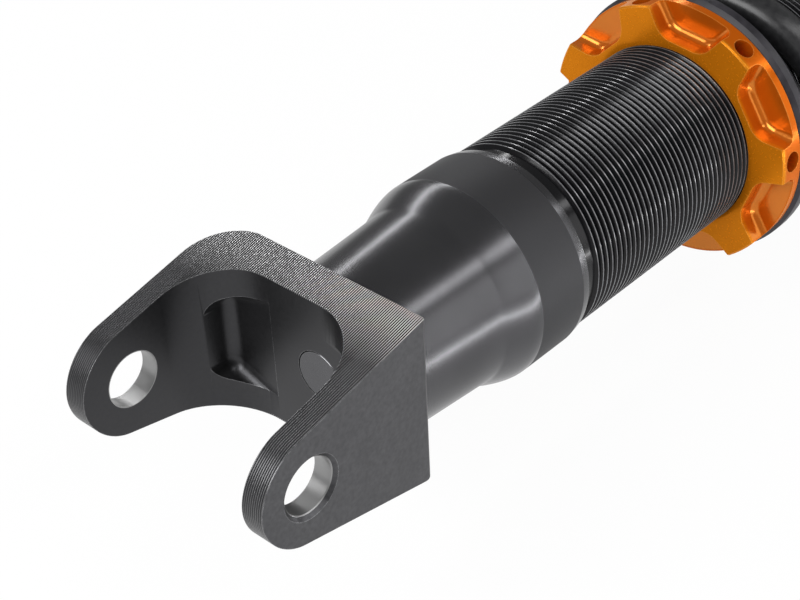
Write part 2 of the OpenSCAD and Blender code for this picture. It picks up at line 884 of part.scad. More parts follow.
// One pocket of the collar, seen from the front, opening outwards along +X.
module collar_pocket_plan() {
    half_pitch = 180 / collar_pockets;
    rim_angle = half_pitch - lobe_angle / 2;
    in_y = pocket_in_r * tan(pocket_in_angle);
    rim = [collar_r * cos(rim_angle), collar_r * sin(rim_angle)];
    flare = atan2(rim[1] - in_y, rim[0] - pocket_in_r);
    round_y = in_y - pocket_round * (1 - sin(flare)) / cos(flare);
    side = pocket_round - seam;
    reach = collar_r / cos(half_pitch) - pocket_in_r;
    half = [
        [pocket_in_r, round_y],
        [pocket_in_r + pocket_round - side * sin(flare), round_y + side * cos(flare)],
        [pocket_in_r + reach, in_y + reach * tan(flare) - seam / cos(flare)]
    ];
    polygon(concat(half, [for (i = [2 : -1 : 0]) [half[i][0], -half[i][1]]]));
    for (s = [1, -1])
        translate([pocket_in_r + pocket_round, s * round_y])
            circle(pocket_round);
}

// Threaded collar with pockets round its front and pin holes in its lobes.
module adjuster_collar() {
    pitch_angle = 360 / collar_pockets;
    bore = thread_r + running_clear;
    color("darkorange")
        difference() {
            turned([
                [collar_x0, bore + collar_bore_chamfer],
                [collar_x0, collar_r - collar_rim_chamfer],
                [collar_x0 + collar_rim_chamfer, collar_r],
                [collar_x1 - collar_rim_chamfer, collar_r],
                [collar_x1, collar_r - collar_rim_chamfer],
                [collar_x1, bore],
                [collar_x0 + collar_bore_chamfer, bore]
            ]);
            for (i = [0 : collar_pockets - 1]) {
                at_angle(collar_phase + i * pitch_angle)
                    translate([(collar_x0 + collar_x1) / 2, 0, collar_r - pin_hole_depth])
                        cylinder(h = pin_hole_depth + over, d = pin_hole_d);
                at_angle(collar_phase + (i + 0.5) * pitch_angle)
                    rotate([0, -90, 0])
                        translate([0, 0, -collar_floor])
                            linear_extrude(collar_floor - collar_x0 + over)
                                collar_pocket_plan();
            }
        }
}

// Isolator ring: taper, flat for the spring, pilot inside the spring.
module isolator(x0, side) {
    r = isolator_d / 2;
    translate([x0, 0, 0])
        mirror([side < 0 ? 1 : 0, 0, 0])
            turned([
                [0, seat_bore_r],
                [0, r - isolator_taper],
                [isolator_taper, r],
                [isolator_t, r],
                [isolator_t, pilot_r],
                [isolator_t + pilot_h, pilot_r],
                [isolator_t + pilot_h, seat_bore_r]
            ]);
}

module spring_isolator() {
    color("midnightblue")
        isolator(isolator_x0, 1);
}

module upper_isolator() {
    color("midnightblue")
        isolator(perch_x0, -1);
}

// Spring: one unbroken right-hand wire, its end turns closed and ground flat.
ring_steps = 24;
wire_sides = 6;
wire_r = wire_d / 2;
tip_sink = wire_r - tip_share * wire_d; // of the wire's middle into the seat
end_pitch = wire_d + end_turn_gap;
wire_rise = spring_x1 - spring_x0 + 2 * tip_sink;
blend_from = 0.75; // turns from each tip where the pitch starts to open
blend_to = 1.05; // turns from each tip where it is fully open
free_pitch = end_pitch + (wire_rise - end_pitch * turns) / (turns - blend_from - blend_to);

// Turns past a blend that runs from a to b, eased in along it.
function ramp(u, a, b) = u < a ? 0 : u < b ? (u - a) * (u - a) / (2 * (b - a)) : u - (a + b) / 2;
function wire_x(u) =
    spring_x0 - tip_sink + end_pitch * u
    + (free_pitch - end_pitch)
        * (ramp(u, blend_from, blend_to) - ramp(u, turns - blend_to, turns - blend_from));
function wire_ring(u) = [
    for (k = [0 : wire_sides - 1])
        let (
            a = 360 * k / wire_sides,
            r = spring_mean_r + wire_r * cos(a),
            x = min(max(wire_x(u) + wire_r * sin(a), spring_x0), spring_x1),
            t = wire_phase - 360 * u
        )
        [x, -r * cos(t), r * sin(t)]
];
wire_rings = [for (i = [0 : round(turns * ring_steps)]) wire_ring(i / ring_steps)];
// Least distance between wire points one turn apart.
wire_gap = min([
    for (i = [0 : len(wire_rings) - 1 - ring_steps])
        for (p = wire_rings[i], q = wire_rings[i + ring_steps])
            norm(p - q)
]);
echo(wire_gap = wire_gap);

// Each end face is a fan from a corner that the grinding left standing.
module coil_spring() {
    n = len(wire_rings);
    first = 1;
    last = wire_sides - 1;
    end = (n - 1) * wire_sides;
    color("black")
        polyhedron(
            points = [for (r = wire_rings) each r],
            faces = concat(
                [
                    for (k = [1 : wire_sides - 2])
                        [first, (first + k + 1) % wire_sides, (first + k) % wire_sides]
                ],
                [
                    for (i = [0 : n - 2], k = [0 : wire_sides - 1])
                        let (
                            a = i * wire_sides + k,
                            b = i * wire_sides + (k + 1) % wire_sides
                        )
                        each [[a, b, b + wire_sides], [a, b + wire_sides, a + wire_sides]]
                ],
                [
                    for (k = [1 : wire_sides - 2])
                        [
                            end + last,
                            end + (last + k) % wire_sides,
                            end + (last + k + 1) % wire_sides
                        ]
                ]
            )
        );
}

// Bump stop: a foam sleeve with a waist, hung under the perch.
module bump_stop() {
    r = bump_stop_d / 2;
    waist_r = r - bump_stop_len / 5;
    color("goldenrod")
        turned([
            [perch_x0 - bump_stop_len, rod_r + running_clear],
            [perch_x0 - bump_stop_len, waist_r],
            [perch_x0 - bump_stop_len * 3 / 4, r],
            [perch_x0 - bump_stop_len / 2, waist_r],
            [perch_x0 - bump_stop_len / 4, r],
            [perch_x0, r],
            [perch_x0, rod_r + running_clear]
        ]);
}

module upper_perch() {
    color("dimgray")
        turned([
            [perch_x0, rod_r + fixed_clear],
            [perch_x0, perch_d / 2],
            [perch_x0 + perch_t, perch_d / 2],
            [perch_x0 + perch_t, perch_hub_d / 2],
            [spacer_x0, perch_hub_d / 2],
            [spacer_x0, rod_top_r + fixed_clear],
            [rod_step_x, rod_top_r + fixed_clear],
            [rod_step_x, rod_r + fixed_clear]
        ]);
}

module lower_ball_spacer() {
    color("silver")
        ring(spacer_x0, ball_x0, rod_top_r + fixed_clear, spacer_d / 2);
}

module bearing_ball() {
    color("gainsboro")
        translate([ball_x, 0, 0])
            rotate([0, 90, 0])
                difference() {
                    intersection() {
                        sphere(d = ball_d);
                        cylinder(h = ball_w, d = ball_d + over, center = true);
                    }
                    cylinder(h = ball_d, r = rod_top_r + fixed_clear, center = true);
                }
}

module upper_ball_spacer() {
    color("silver")
        ring(ball_x1, top_washer_x0, rod_top_r + fixed_clear, spacer_d / 2);
}

module top_washer() {
    color("gainsboro")
        ring(top_washer_x0, top_nut_x0, rod_top_r + fixed_clear, top_washer_d / 2);
}

module top_nut() {
    color("silver")
        difference() {
            hex_bar(top_nut_x0, top_nut_x1, top_nut_af);
            disc(top_nut_x0 - over, top_nut_x1 + over, rod_top_r + fixed_clear);
        }
}

module bearing_race() {
    color("silver")
        translate([ball_x, 0, 0])
            rotate([0, 90, 0])
                difference() {
                    cylinder(h = race_w, d = race_d, center = true);
                    sphere(r = ball_d / 2 + running_clear);
                }
}

module bearing_circlip() {
    r = race_r + circlip_bite;
    color("dimgray")
        difference() {
            ring(race_x1, race_x1 + circlip_t, race_r - 2 * circlip_bite, r);
            translate([race_x1 - over, -ring_gap / 2, 0])
                cube([circlip_t + 2 * over, ring_gap, race_d]);
        }
}

// Places its children at each stud, with +Z along the damper axis.
module at_studs() {
    for (i = [0 : stud_count - 1])
        rotate([i * 360 / stud_count, 0, 0])
            translate([0, 0, stud_circle_d / 2])
                rotate([0, 90, 0])
                    children();
}

// Top plate: a flat flange with a bearing boss and stud holes.
module top_plate() {
    seat_r = race_r + fixed_clear;
    lip_r = race_r - 3 * race_lip / 2;
    color("dimgray")
        difference() {
            turned([
                [boss_x0, lip_r],
                [boss_x0, boss_d / 2],
                [plate_x0, boss_d / 2],
                [plate_x0, plate_d / 2],
                [plate_x1, plate_d / 2],
                [plate_x1, boss_d / 2],
                [boss_x1, boss_d / 2],
                [boss_x1, seat_r],
                [race_x1 + circlip_t, seat_r],
                [race_x1 + circlip_t, seat_r + circlip_bite],
                [race_x1, seat_r + circlip_bite],
                [race_x1, seat_r],
                [race_x0, seat_r],
                [race_x0, lip_r]
            ]);
            at_studs()
                translate([0, 0, plate_x0 - over])
                    cylinder(h = plate_t + 2 * over, d = stud_shank_d + 2 * fixed_clear);
        }
}

// Studs pressed up through the plate, each with its head, shank and thread.
module top_studs() {
    color("silver")
        at_studs() {
            translate([0, 0, plate_x0 - stud_head_h])
                cylinder(h = stud_head_h, d = stud_head_d);
            translate([0, 0, plate_x0])
                cylinder(h = plate_t, d = stud_shank_d);
            translate([0, 0, plate_x1])
                cylinder(h = stud_len, d = stud_d);
        }
}

// Knob with flutes and a stem that turns in the rod's bore.
module adjuster_knob() {
    flute_d = knob_d / knob_flutes;
    color("darkorange")
        difference() {
            turned([
                [knob_stem_x0, 0],
                [knob_stem_x0, rod_bore_r - running_clear],
                [knob_x0, rod_bore_r - running_clear],
                [knob_x0, knob_d / 2],
                [knob_x0 + knob_len, knob_d / 2],
                [knob_x0 + knob_len, 0]
            ]);
            for (i = [0 : knob_flutes - 1])
                at_angle(i * 360 / knob_flutes)
                    translate([knob_x0 - over, 0, knob_d / 2])
                        rotate([0, 90, 0])
                            cylinder(h = knob_len + 2 * over, d = flute_d);
        }
}

// Needle that closes the rod's jet as it moves down.
module metering_needle() {
    color("gold")
        turned([
            [needle_x0, 0],
            [needle_x0, needle_end_d / 2],
            [needle_x0 + needle_point, rod_bore_r - running_clear],
            [needle_x1, rod_bore_r - running_clear],
            [needle_x1, 0]
        ]);
}

lower_fork();
lower_cap();
gas_fill_screw();
body_o_ring();
threaded_body();
floating_piston();
floating_piston_seal();
piston_rod();
piston_nut();
rebound_shims();
main_piston();
piston_band();
compression_shims();
piston_washer();
top_out_stop();
rod_guide();
guide_bush();
rod_seal();
rod_wiper();
guide_o_ring();
guide_snap_ring();
adjuster_collar();
spring_isolator();
coil_spring();
bump_stop();
upper_isolator();
upper_perch();
lower_ball_spacer();
bearing_ball();
upper_ball_spacer();
top_washer();
top_nut();
bearing_race();
bearing_circlip();
top_plate();
top_studs();
adjuster_knob();
metering_needle();
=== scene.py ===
import math

import bmesh
import bpy
from mathutils import Matrix, Vector


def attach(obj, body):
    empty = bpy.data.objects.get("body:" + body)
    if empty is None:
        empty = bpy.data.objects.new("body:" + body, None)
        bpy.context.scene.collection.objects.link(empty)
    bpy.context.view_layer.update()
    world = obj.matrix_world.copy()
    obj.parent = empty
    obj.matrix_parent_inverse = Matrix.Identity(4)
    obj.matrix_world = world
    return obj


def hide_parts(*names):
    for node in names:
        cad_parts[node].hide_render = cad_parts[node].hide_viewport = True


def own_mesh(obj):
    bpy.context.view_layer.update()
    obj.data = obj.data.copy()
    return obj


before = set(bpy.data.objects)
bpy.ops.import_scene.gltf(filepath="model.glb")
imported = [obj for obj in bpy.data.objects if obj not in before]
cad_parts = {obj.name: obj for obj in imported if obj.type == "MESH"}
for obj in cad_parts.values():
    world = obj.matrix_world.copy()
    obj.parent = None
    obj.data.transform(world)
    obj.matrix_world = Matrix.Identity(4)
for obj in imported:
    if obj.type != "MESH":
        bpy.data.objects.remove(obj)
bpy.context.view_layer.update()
scene = bpy.context.scene

# ---- Camera ---------------------------------------------------------------
# A long lens above the fork's near side, a few degrees off level.

camera_data = bpy.data.cameras.new("camera")
camera_data.lens = 80.2
camera_data.sensor_width = 36.0
camera_data.clip_start = 0.01
camera_data.clip_end = 20.0
camera = bpy.data.objects.new("camera", camera_data)
scene.collection.objects.link(camera)

view_turn = math.radians(-45.93)
view_rise = math.radians(36.30)
view_roll = math.radians(-2.90)
view_back = Vector((
    math.sin(view_turn) * math.cos(view_rise),
    -math.cos(view_turn) * math.cos(view_rise),
    math.sin(view_rise),
))
level_right = (-view_back).cross(Vector((0, 0, 1))).normalized()
level_up = level_right.cross(-view_back)
view_right = math.cos(view_roll) * level_right + math.sin(view_roll) * level_up
view_up = -math.sin(view_roll) * level_right + math.cos(view_roll) * level_up
camera_place = (-0.1999, -0.2512, 0.2714)
camera.matrix_world = Matrix.Translation(camera_place) @ Matrix((
    view_right, view_up, view_back
)).transposed().to_4x4()
scene.camera = camera

# ---- Floor and light ------------------------------------------------------
# A white sweep under the part and a dim room above it. Long soft boxes lie
# along the part, so that its turned surfaces show lengthwise highlights.

FLOOR_Z = -0.0551

bpy.ops.object.select_all(action="DESELECT")
bpy.ops.mesh.primitive_plane_add(size=60.0, location=(0.2, 0.0, FLOOR_Z))
floor = bpy.context.object
floor.name = "floor"


def add(nodes, links, kind, settings=None, **inputs):
    """Adds a node, sets its options and values, and links the sockets given."""
    node = nodes.new(kind)
    for key, value in (settings or {}).items():
        setattr(node, key, value)
    for key, value in inputs.items():
        socket = node.inputs[int(key[1:])] if key[0] == "i" and key[1:].isdigit() else (
            node.inputs[key.replace("_", " ")]
        )
        if isinstance(value, bpy.types.NodeSocket):
            links.new(value, socket)
        else:
            socket.default_value = value
    return node


def math_node(nodes, links, operation, first, second=0.0, third=0.0):
    """One maths step on sockets or values."""
    return add(
        nodes, links, "ShaderNodeMath", {"operation": operation}, i0=first, i1=second, i2=third
    ).outputs[0]


white_sweep = bpy.data.materials.new("white_sweep")
white_sweep.use_nodes = True
nodes = white_sweep.node_tree.nodes
links = white_sweep.node_tree.links
nodes.clear()
sweep_paper = add(nodes, links, "ShaderNodeBsdfDiffuse", Color=(0.86, 0.86, 0.86, 1))
sweep_glow = add(nodes, links, "ShaderNodeEmission", Color=(1, 1, 1, 1), Strength=1.0)
sweep_rays = add(nodes, links, "ShaderNodeLightPath")
sweep_eye = math_node(
    nodes, links, "MAXIMUM", sweep_rays.outputs["Is Camera Ray"], sweep_rays.outputs["Is Glossy Ray"]
)
sweep_seen = math_node(nodes, links, "MAXIMUM", sweep_eye, sweep_rays.outputs["Is Transmission Ray"])
sweep_mix = add(
    nodes, links, "ShaderNodeMixShader",
    Fac=math_node(nodes, links, "MULTIPLY", sweep_seen, 0.95),
    i1=sweep_paper.outputs[0], i2=sweep_glow.outputs[0],
)
add(nodes, links, "ShaderNodeOutputMaterial", Surface=sweep_mix.outputs[0])
floor.data.materials.append(white_sweep)

world = bpy.data.worlds.new("studio")
scene.world = world
world.use_nodes = True
nodes = world.node_tree.nodes
links = world.node_tree.links
nodes.clear()
room_light = add(nodes, links, "ShaderNodeBackground", Color=(1, 1, 1, 1), Strength=0.27)
add(nodes, links, "ShaderNodeOutputWorld", Surface=room_light.outputs[0])

scene.view_settings.view_transform = "Standard"


def soft_box(name, place, aim, width, height, power):
    """A rectangular lamp at place, pointed at aim."""
    lamp = bpy.data.lights.new(name, "AREA")
    lamp.shape = "RECTANGLE"
    lamp.size = width
    lamp.size_y = height
    lamp.energy = power
    box = bpy.data.objects.new(name, lamp)
    box.location = place
    box.rotation_euler = (Vector(place) - Vector(aim)).to_track_quat("Z", "Y").to_euler()
    box.visible_camera = False
    scene.collection.objects.link(box)


soft_box("fill_front", (-0.85, 0.05, 0.70), (0.10, 0.0, 0.0), 0.90, 0.70, 13.0)
soft_box("wall_near", (0.70, -0.95, 0.30), (0.70, 0.0, 0.0), 1.70, 0.62, 4.4)
soft_box("strip_back", (0.70, 0.76, 0.60), (0.70, 0.0, 0.0), 1.70, 0.07, 5.0)
soft_box("strip_front", (0.70, -0.62, 0.71), (0.70, 0.0, 0.0), 1.70, 0.14, 4.0)
soft_box("strip_low", (0.34, -0.20, -0.040), (0.34, 0.0, 0.0), 0.60, 0.010, 0.30)

# ---- Lower fork -----------------------------------------------------------
# The clevis that takes the suspension arm: milled from a block of aluminium,
# ball-milled over its top and underside, bored through both ears, then hard
# anodised dark grey. The cap's spigot goes through its crossbar.

MM = 0.001


def clear_selection():
    """Leaves nothing selected, in object mode."""
    if bpy.context.object and bpy.context.object.mode != "OBJECT":
        bpy.ops.object.mode_set(mode="OBJECT")
    bpy.ops.object.select_all(action="DESELECT")


def choose(piece):
    """Selects one piece alone and makes it the active one."""
    clear_selection()
    piece.select_set(True)
    bpy.context.view_layer.objects.active = piece


def pick(piece, elements, test):
    """In edit mode, selects only the faces, edges or vertices that pass the test."""
    net = bmesh.from_edit_mesh(piece.data)
    for group in (net.faces, net.edges, net.verts):
        for element in group:
            element.select = False
    for element in getattr(net, elements):
        if test(element):
            element.select = True
    net.select_flush_mode()
    bmesh.update_edit_mesh(piece.data)


def edge_mode(kind):
    """Chooses vertex, edge or face selection."""
    bpy.ops.mesh.select_mode(type=kind)


def settle(piece):
    """Writes the piece's place, turn and scale into its mesh."""
    choose(piece)
    bpy.ops.object.transform_apply(location=True, rotation=True, scale=True)


def finish_modifier(piece, modifier):
    """Applies one modifier to its piece."""
    choose(piece)
    bpy.ops.object.modifier_apply(modifier=modifier.name)


def cut_away(piece, cutter, operation="DIFFERENCE"):
    """Takes the cutter's shape out of the piece and deletes the cutter."""
    cut = piece.modifiers.new("cut", "BOOLEAN")
    cut.operation = operation
    cut.object = cutter
    cut.solver = "EXACT"
    finish_modifier(piece, cut)
    bpy.data.objects.remove(cutter)


def block(name, low, high):
    """A cube primitive between two corners, in millimetres."""
    clear_selection()
    middle = [(a + b) / 2 * MM for a, b in zip(low, high)]
    span = [(b - a) * MM for a, b in zip(low, high)]
    bpy.ops.mesh.primitive_cube_add(size=1.0, location=middle, scale=span)
    piece = bpy.context.object
    piece.name = name
    settle(piece)
    return piece


def rod_between(name, axis, low, high, radius, sides, centre=(0, 0, 0)):
    """A cylinder primitive along X or Y, in millimetres."""
    clear_selection()
    place = [c * MM for c in centre]
    place["XY".index(axis)] = (low + high) / 2 * MM
    turn = (0, math.pi / 2, 0) if axis == "X" else (math.pi / 2, 0, 0)
    bpy.ops.mesh.primitive_cylinder_add(
        vertices=sides, radius=radius * MM, depth=(high - low) * MM, location=place, rotation=turn
    )
    piece = bpy.context.object
    piece.name = name
    settle(piece)
    return piece


def bevel_edges(piece, test, width, segments):
    """Rounds the edges that pass the test."""
    choose(piece)
    bpy.ops.object.mode_set(mode="EDIT")
    edge_mode("EDGE")
    pick(piece, "edges", test)
    bpy.ops.mesh.bevel(offset=width * MM, segments=segments, profile=0.5, affect="EDGES")
    bpy.ops.mesh.select_all(action="SELECT")
    bpy.ops.mesh.remove_doubles(threshold=0.005 * MM)
    bpy.ops.object.mode_set(mode="OBJECT")


def break_edges(piece, width, segments=2, angle=30.0):
    """A small bevel on every sharp edge, then smooth shading up to the angle."""
    edge = piece.modifiers.new("edge", "BEVEL")
    edge.width = width * MM
    edge.segments = segments
    edge.limit_method = "ANGLE"
    edge.angle_limit = math.radians(angle)
    edge.use_clamp_overlap = True
    finish_modifier(piece, edge)
    shade(piece, angle)
    even = piece.modifiers.new("even", "WEIGHTED_NORMAL")
    even.mode = "FACE_AREA"
    even.weight = 100
    even.keep_sharp = True
    finish_modifier(piece, even)


def shade(piece, angle=30.0):
    """Smooth shading up to an angle."""
    choose(piece)
    bpy.ops.object.shade_smooth_by_angle(angle=math.radians(angle))


def lies(value, goal, slack=0.02):
    """True when a coordinate in metres is at a place in millimetres."""
    return abs(value / MM - goal) < slack


FORK_TIP_R = 15.5
FORK_BACK = 40.0
FORK_NEAR = -27.0
FORK_FAR = 41.0
FORK_SLOPE = math.radians(12.5)
SLOT_NEAR = -20.5
SLOT_FAR = 34.5
SLOT_FLOOR = 30.0
SLOT_CORNER_R = 18.5
UPPER_BACK_R = 0.35
LOWER_BACK_R = 2.4
FAR_CORNER_R = 15.0
NEAR_CORNER_R = 1.2
CROSSBAR_HOLE_R = 7.02
BLANK_HALF_H = 30.0
CUTTER_HALF_H = 40.0
CUTTER_FRONT = -20.0

fork = block(
    "fork_clevis", (-FORK_TIP_R, FORK_NEAR, -BLANK_HALF_H), (FORK_BACK, FORK_FAR, BLANK_HALF_H)
)
bpy.ops.object.mode_set(mode="EDIT")
for side in (1, -1):
    bpy.ops.mesh.select_all(action="SELECT")
    face_way = Vector((-math.sin(FORK_SLOPE), 0, side * math.cos(FORK_SLOPE)))
    bpy.ops.mesh.bisect(
        plane_co=face_way * FORK_TIP_R * MM, plane_no=face_way, use_fill=True, clear_outer=True
    )
bpy.ops.object.mode_set(mode="OBJECT")
# The tip's two roundings stop a hair short of each other.
tip_setback = 0.9995 * FORK_TIP_R * math.tan((math.pi / 2 - FORK_SLOPE) / 2)


def runs_along(edge, axis):
    """True when an edge runs along one axis."""
    way = edge.verts[1].co - edge.verts[0].co
    return abs(way[axis]) > 0.999 * way.length


bevel_edges(
    fork,
    lambda e: runs_along(e, 1) and lies(e.verts[0].co.x, -FORK_TIP_R),
    tip_setback, 20,
)
bevel_edges(
    fork,
    lambda e: runs_along(e, 1) and lies(e.verts[0].co.x, FORK_BACK) and e.verts[0].co.z > 0,
    UPPER_BACK_R, 3,
)
bevel_edges(
    fork,
    lambda e: runs_along(e, 1) and lies(e.verts[0].co.x, FORK_BACK) and e.verts[0].co.z < 0,
    LOWER_BACK_R, 8,
)

# Drawn 1 mm too long and then set flush: a block that is drawn flush at once
# leaves stray points on the fork's flat back.
PLAN_EXTRA = 1.0

plan = block(
    "fork_plan",
    (CUTTER_FRONT, FORK_NEAR, -CUTTER_HALF_H), (FORK_BACK + PLAN_EXTRA, FORK_FAR, CUTTER_HALF_H),
)
bpy.ops.object.mode_set(mode="EDIT")
edge_mode("FACE")
pick(plan, "faces", lambda f: f.normal.x > 0.9)
bpy.ops.transform.translate(value=(-PLAN_EXTRA * MM, 0, 0))
bpy.ops.object.mode_set(mode="OBJECT")
bevel_edges(
    plan,
    lambda e: runs_along(e, 2) and lies(e.verts[0].co.x, FORK_BACK) and lies(e.verts[0].co.y, FORK_FAR),
    FAR_CORNER_R, 24,
)
bevel_edges(
    plan,
    lambda e: runs_along(e, 2) and lies(e.verts[0].co.x, FORK_BACK) and lies(e.verts[0].co.y, FORK_NEAR),
    NEAR_CORNER_R, 6,
)
cut_away(fork, plan, "INTERSECT")

slot = block(
    "slot_cut", (CUTTER_FRONT, SLOT_NEAR, -CUTTER_HALF_H), (SLOT_FLOOR, SLOT_FAR, CUTTER_HALF_H)
)
bevel_edges(
    slot,
    lambda e: runs_along(e, 2) and lies(e.verts[0].co.x, SLOT_FLOOR),
    SLOT_CORNER_R, 20,
)
cut_away(fork, slot)

# The two relief pockets at the slot's inner corners. Each is lower at its wall
# beside the ear than towards the slot's middle.
RELIEF_FRONT = 8.0
RELIEF_LEDGE = 3.1
RELIEF_WALL_HALF_H = 11.6
RELIEF_MIDDLE_HALF_H = 17.0
RELIEF_CORNER_R = 3.6
RELIEF_NEAR_END = 3.0
RELIEF_FAR_SINK = 0.4

near_wall = SLOT_NEAR + RELIEF_LEDGE
far_wall = SLOT_FAR - RELIEF_LEDGE
for near_y, far_y, floor_x, wall_y in (
    (near_wall, RELIEF_NEAR_END, SLOT_FLOOR, near_wall),
    (SLOT_FAR - SLOT_CORNER_R, far_wall, SLOT_FLOOR + RELIEF_FAR_SINK, far_wall),
):
    pocket = block(
        "pocket_cut", (RELIEF_FRONT, near_y, -RELIEF_WALL_HALF_H), (floor_x, far_y, RELIEF_WALL_HALF_H)
    )
    bpy.ops.object.mode_set(mode="EDIT")
    edge_mode("FACE")
    pick(pocket, "faces", lambda f: abs(f.normal.y) > 0.9 and not lies(f.calc_center_median().y, wall_y))
    bpy.ops.transform.resize(value=(1, 1, RELIEF_MIDDLE_HALF_H / RELIEF_WALL_HALF_H))
    bpy.ops.object.mode_set(mode="OBJECT")
    bevel_edges(
        pocket,
        lambda e: (
            all(lies(v.co.y, wall_y) for v in e.verts)
            and not all(lies(v.co.x, RELIEF_FRONT) for v in e.verts)
        ) or (
            all(lies(v.co.x, floor_x) for v in e.verts)
            and abs(e.verts[1].co.y - e.verts[0].co.y) > 0.9 * e.calc_length()
        ),
        RELIEF_CORNER_R, 8,
    )
    cut_away(fork, pocket)

# The bolt's bore, and a cone at each outer face that chamfers it by 1.2 mm.
BOLT_R = 7.5
CONE_OUT_R = 9.7
CONE_IN_R = 7.0
CONE_LEN = 2.7
CONE_SINK = 0.35

bolt = rod_between("bolt_cut", "Y", FORK_NEAR - 1.0, FORK_FAR + 1.0, BOLT_R, 96)
cut_away(fork, bolt)
for ear_y, outward in ((FORK_NEAR, -1), (FORK_FAR, 1)):
    clear_selection()
    bpy.ops.mesh.primitive_cone_add(
        vertices=96, radius1=CONE_OUT_R * MM, radius2=CONE_IN_R * MM, depth=CONE_LEN * MM,
        location=(0, (ear_y - outward * CONE_SINK) * MM, 0),
        rotation=(math.pi / 2 * outward, 0, 0),
    )
    chamfer = bpy.context.object
    settle(chamfer)
    cut_away(fork, chamfer)
spigot_hole = rod_between("spigot_cut", "X", SLOT_FLOOR - 2.0, FORK_BACK + 2.0, CROSSBAR_HOLE_R, 64)
cut_away(fork, spigot_hole)
break_edges(fork, 0.25, 2, 35.0)
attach(fork, "damper_body")
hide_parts("lower_fork")


def new_finish(name, colour, metallic, roughness):
    """A material with one Principled shader, and its node and link lists."""
    finish = bpy.data.materials.new(name)
    finish.use_nodes = True
    nodes = finish.node_tree.nodes
    links = finish.node_tree.links
    shader = nodes["Principled BSDF"]
    shader.inputs["Base Color"].default_value = (*colour, 1)
    shader.inputs["Metallic"].default_value = metallic
    shader.inputs["Roughness"].default_value = roughness
    return finish, nodes, links, shader


def speckle(nodes, links, scale, detail=3.0, stretch=(1, 1, 1)):
    """Fine noise on Object coordinates, stretched along an axis where asked."""
    place = add(nodes, links, "ShaderNodeTexCoord")
    spread = add(
        nodes, links, "ShaderNodeMapping", Vector=place.outputs["Object"], Scale=stretch
    )
    return add(
        nodes, links, "ShaderNodeTexNoise", Vector=spread.outputs[0], Scale=scale, Detail=detail
    )


def ramp_between(nodes, links, value, low, high, dark, light):
    """A colour ramp from dark at low to light at high."""
    ramp = add(nodes, links, "ShaderNodeValToRGB", Fac=value)
    ramp.color_ramp.elements[0].position = low
    ramp.color_ramp.elements[0].color = (*dark, 1)
    ramp.color_ramp.elements[1].position = high
    ramp.color_ramp.elements[1].color = (*light, 1)
    return ramp


def own_coordinates(nodes, links):
    """The point's X, Y and Z on its own piece, in metres."""
    place = add(nodes, links, "ShaderNodeTexCoord")
    return add(nodes, links, "ShaderNodeSeparateXYZ", Vector=place.outputs["Object"])


def distance(nodes, links, first, second):
    """How far out two coordinates taken together reach."""
    return math_node(
        nodes, links, "SQRT",
        math_node(
            nodes, links, "MULTIPLY_ADD", first, first, math_node(nodes, links, "MULTIPLY", second, second)
        ),
    )


def ridge_lift(nodes, links, pitch):
    """0 to 1 across each ball-mill pass, passes lying side by side along Y."""
    across = own_coordinates(nodes, links).outputs["Y"]
    wander = speckle(nodes, links, 60.0, 1.0)
    shift = math_node(nodes, links, "MULTIPLY", wander.outputs["Fac"], 0.00025)
    turns = math_node(
        nodes, links, "MULTIPLY", math_node(nodes, links, "ADD", across, shift), 1.0 / (pitch * MM)
    )
    saw = math_node(nodes, links, "SUBTRACT", math_node(nodes, links, "FRACT", turns), 0.5)
    folded = math_node(nodes, links, "ABSOLUTE", math_node(nodes, links, "MULTIPLY", saw, 2.0))
    return math_node(nodes, links, "POWER", folded, 2.0)


def map_to(nodes, links, value, low, high, to_low=0.0, to_high=1.0):
    """A value's range brought to another range, held at its ends."""
    node = add(nodes, links, "ShaderNodeMapRange", Value=value)
    node.inputs["From Min"].default_value = low
    node.inputs["From Max"].default_value = high
    node.inputs["To Min"].default_value = to_low
    node.inputs["To Max"].default_value = to_high
    return node.outputs[0]


def edge_wear_and_sheen(nodes, links, radius):
    """1 on outer and inner edges, where the rounded normal leaves the true one; the lightening it drives is
    edge wear and a painted edge highlight.
    """
    soft = add(nodes, links, "ShaderNodeBevel", {"samples": 4}, Radius=radius * MM)
    true = add(nodes, links, "ShaderNodeNewGeometry")
    same = add(
        nodes, links, "ShaderNodeVectorMath", {"operation": "DOT_PRODUCT"},
        i0=soft.outputs["Normal"], i1=true.outputs["Normal"],
    )
    return map_to(nodes, links, same.outputs["Value"], 0.995, 0.93)


def blend(nodes, links, share, first, second):
    """Mixes two colours."""
    node = add(nodes, links, "ShaderNodeMix", {"data_type": "RGBA", "blend_type": "MIX"})
    for socket, value in ((node.inputs["Factor"], share), (node.inputs[6], first), (node.inputs[7], second)):
        if isinstance(value, bpy.types.NodeSocket):
            links.new(value, socket)
        else:
            socket.default_value = value if isinstance(value, float) else (*value, 1)
    return node.outputs[2]


RIDGE_PITCH = 0.62

fork_finish, nodes, links, shader = new_finish("hard_anodised_milled", (0.08, 0.08, 0.085), 0.9, 0.36)
facing = add(nodes, links, "ShaderNodeNewGeometry")
facing_parts = add(nodes, links, "ShaderNodeSeparateXYZ", Vector=facing.outputs["Normal"])
sideways = math_node(nodes, links, "ABSOLUTE", facing_parts.outputs["Y"])
not_sideways = map_to(nodes, links, sideways, 0.25, 0.10)
fork_parts = own_coordinates(nodes, links)
along_x = fork_parts.outputs["X"]
from_bolt = distance(nodes, links, fork_parts.outputs["Z"], along_x)
in_bore = math_node(nodes, links, "LESS_THAN", from_bolt, (BOLT_R + 0.25) * MM)
tall = math_node(nodes, links, "ABSOLUTE", fork_parts.outputs["Z"])
from_middle = math_node(
    nodes, links, "MULTIPLY_ADD", along_x, -math.sin(FORK_SLOPE),
    math_node(nodes, links, "MULTIPLY", tall, math.cos(FORK_SLOPE)),
)
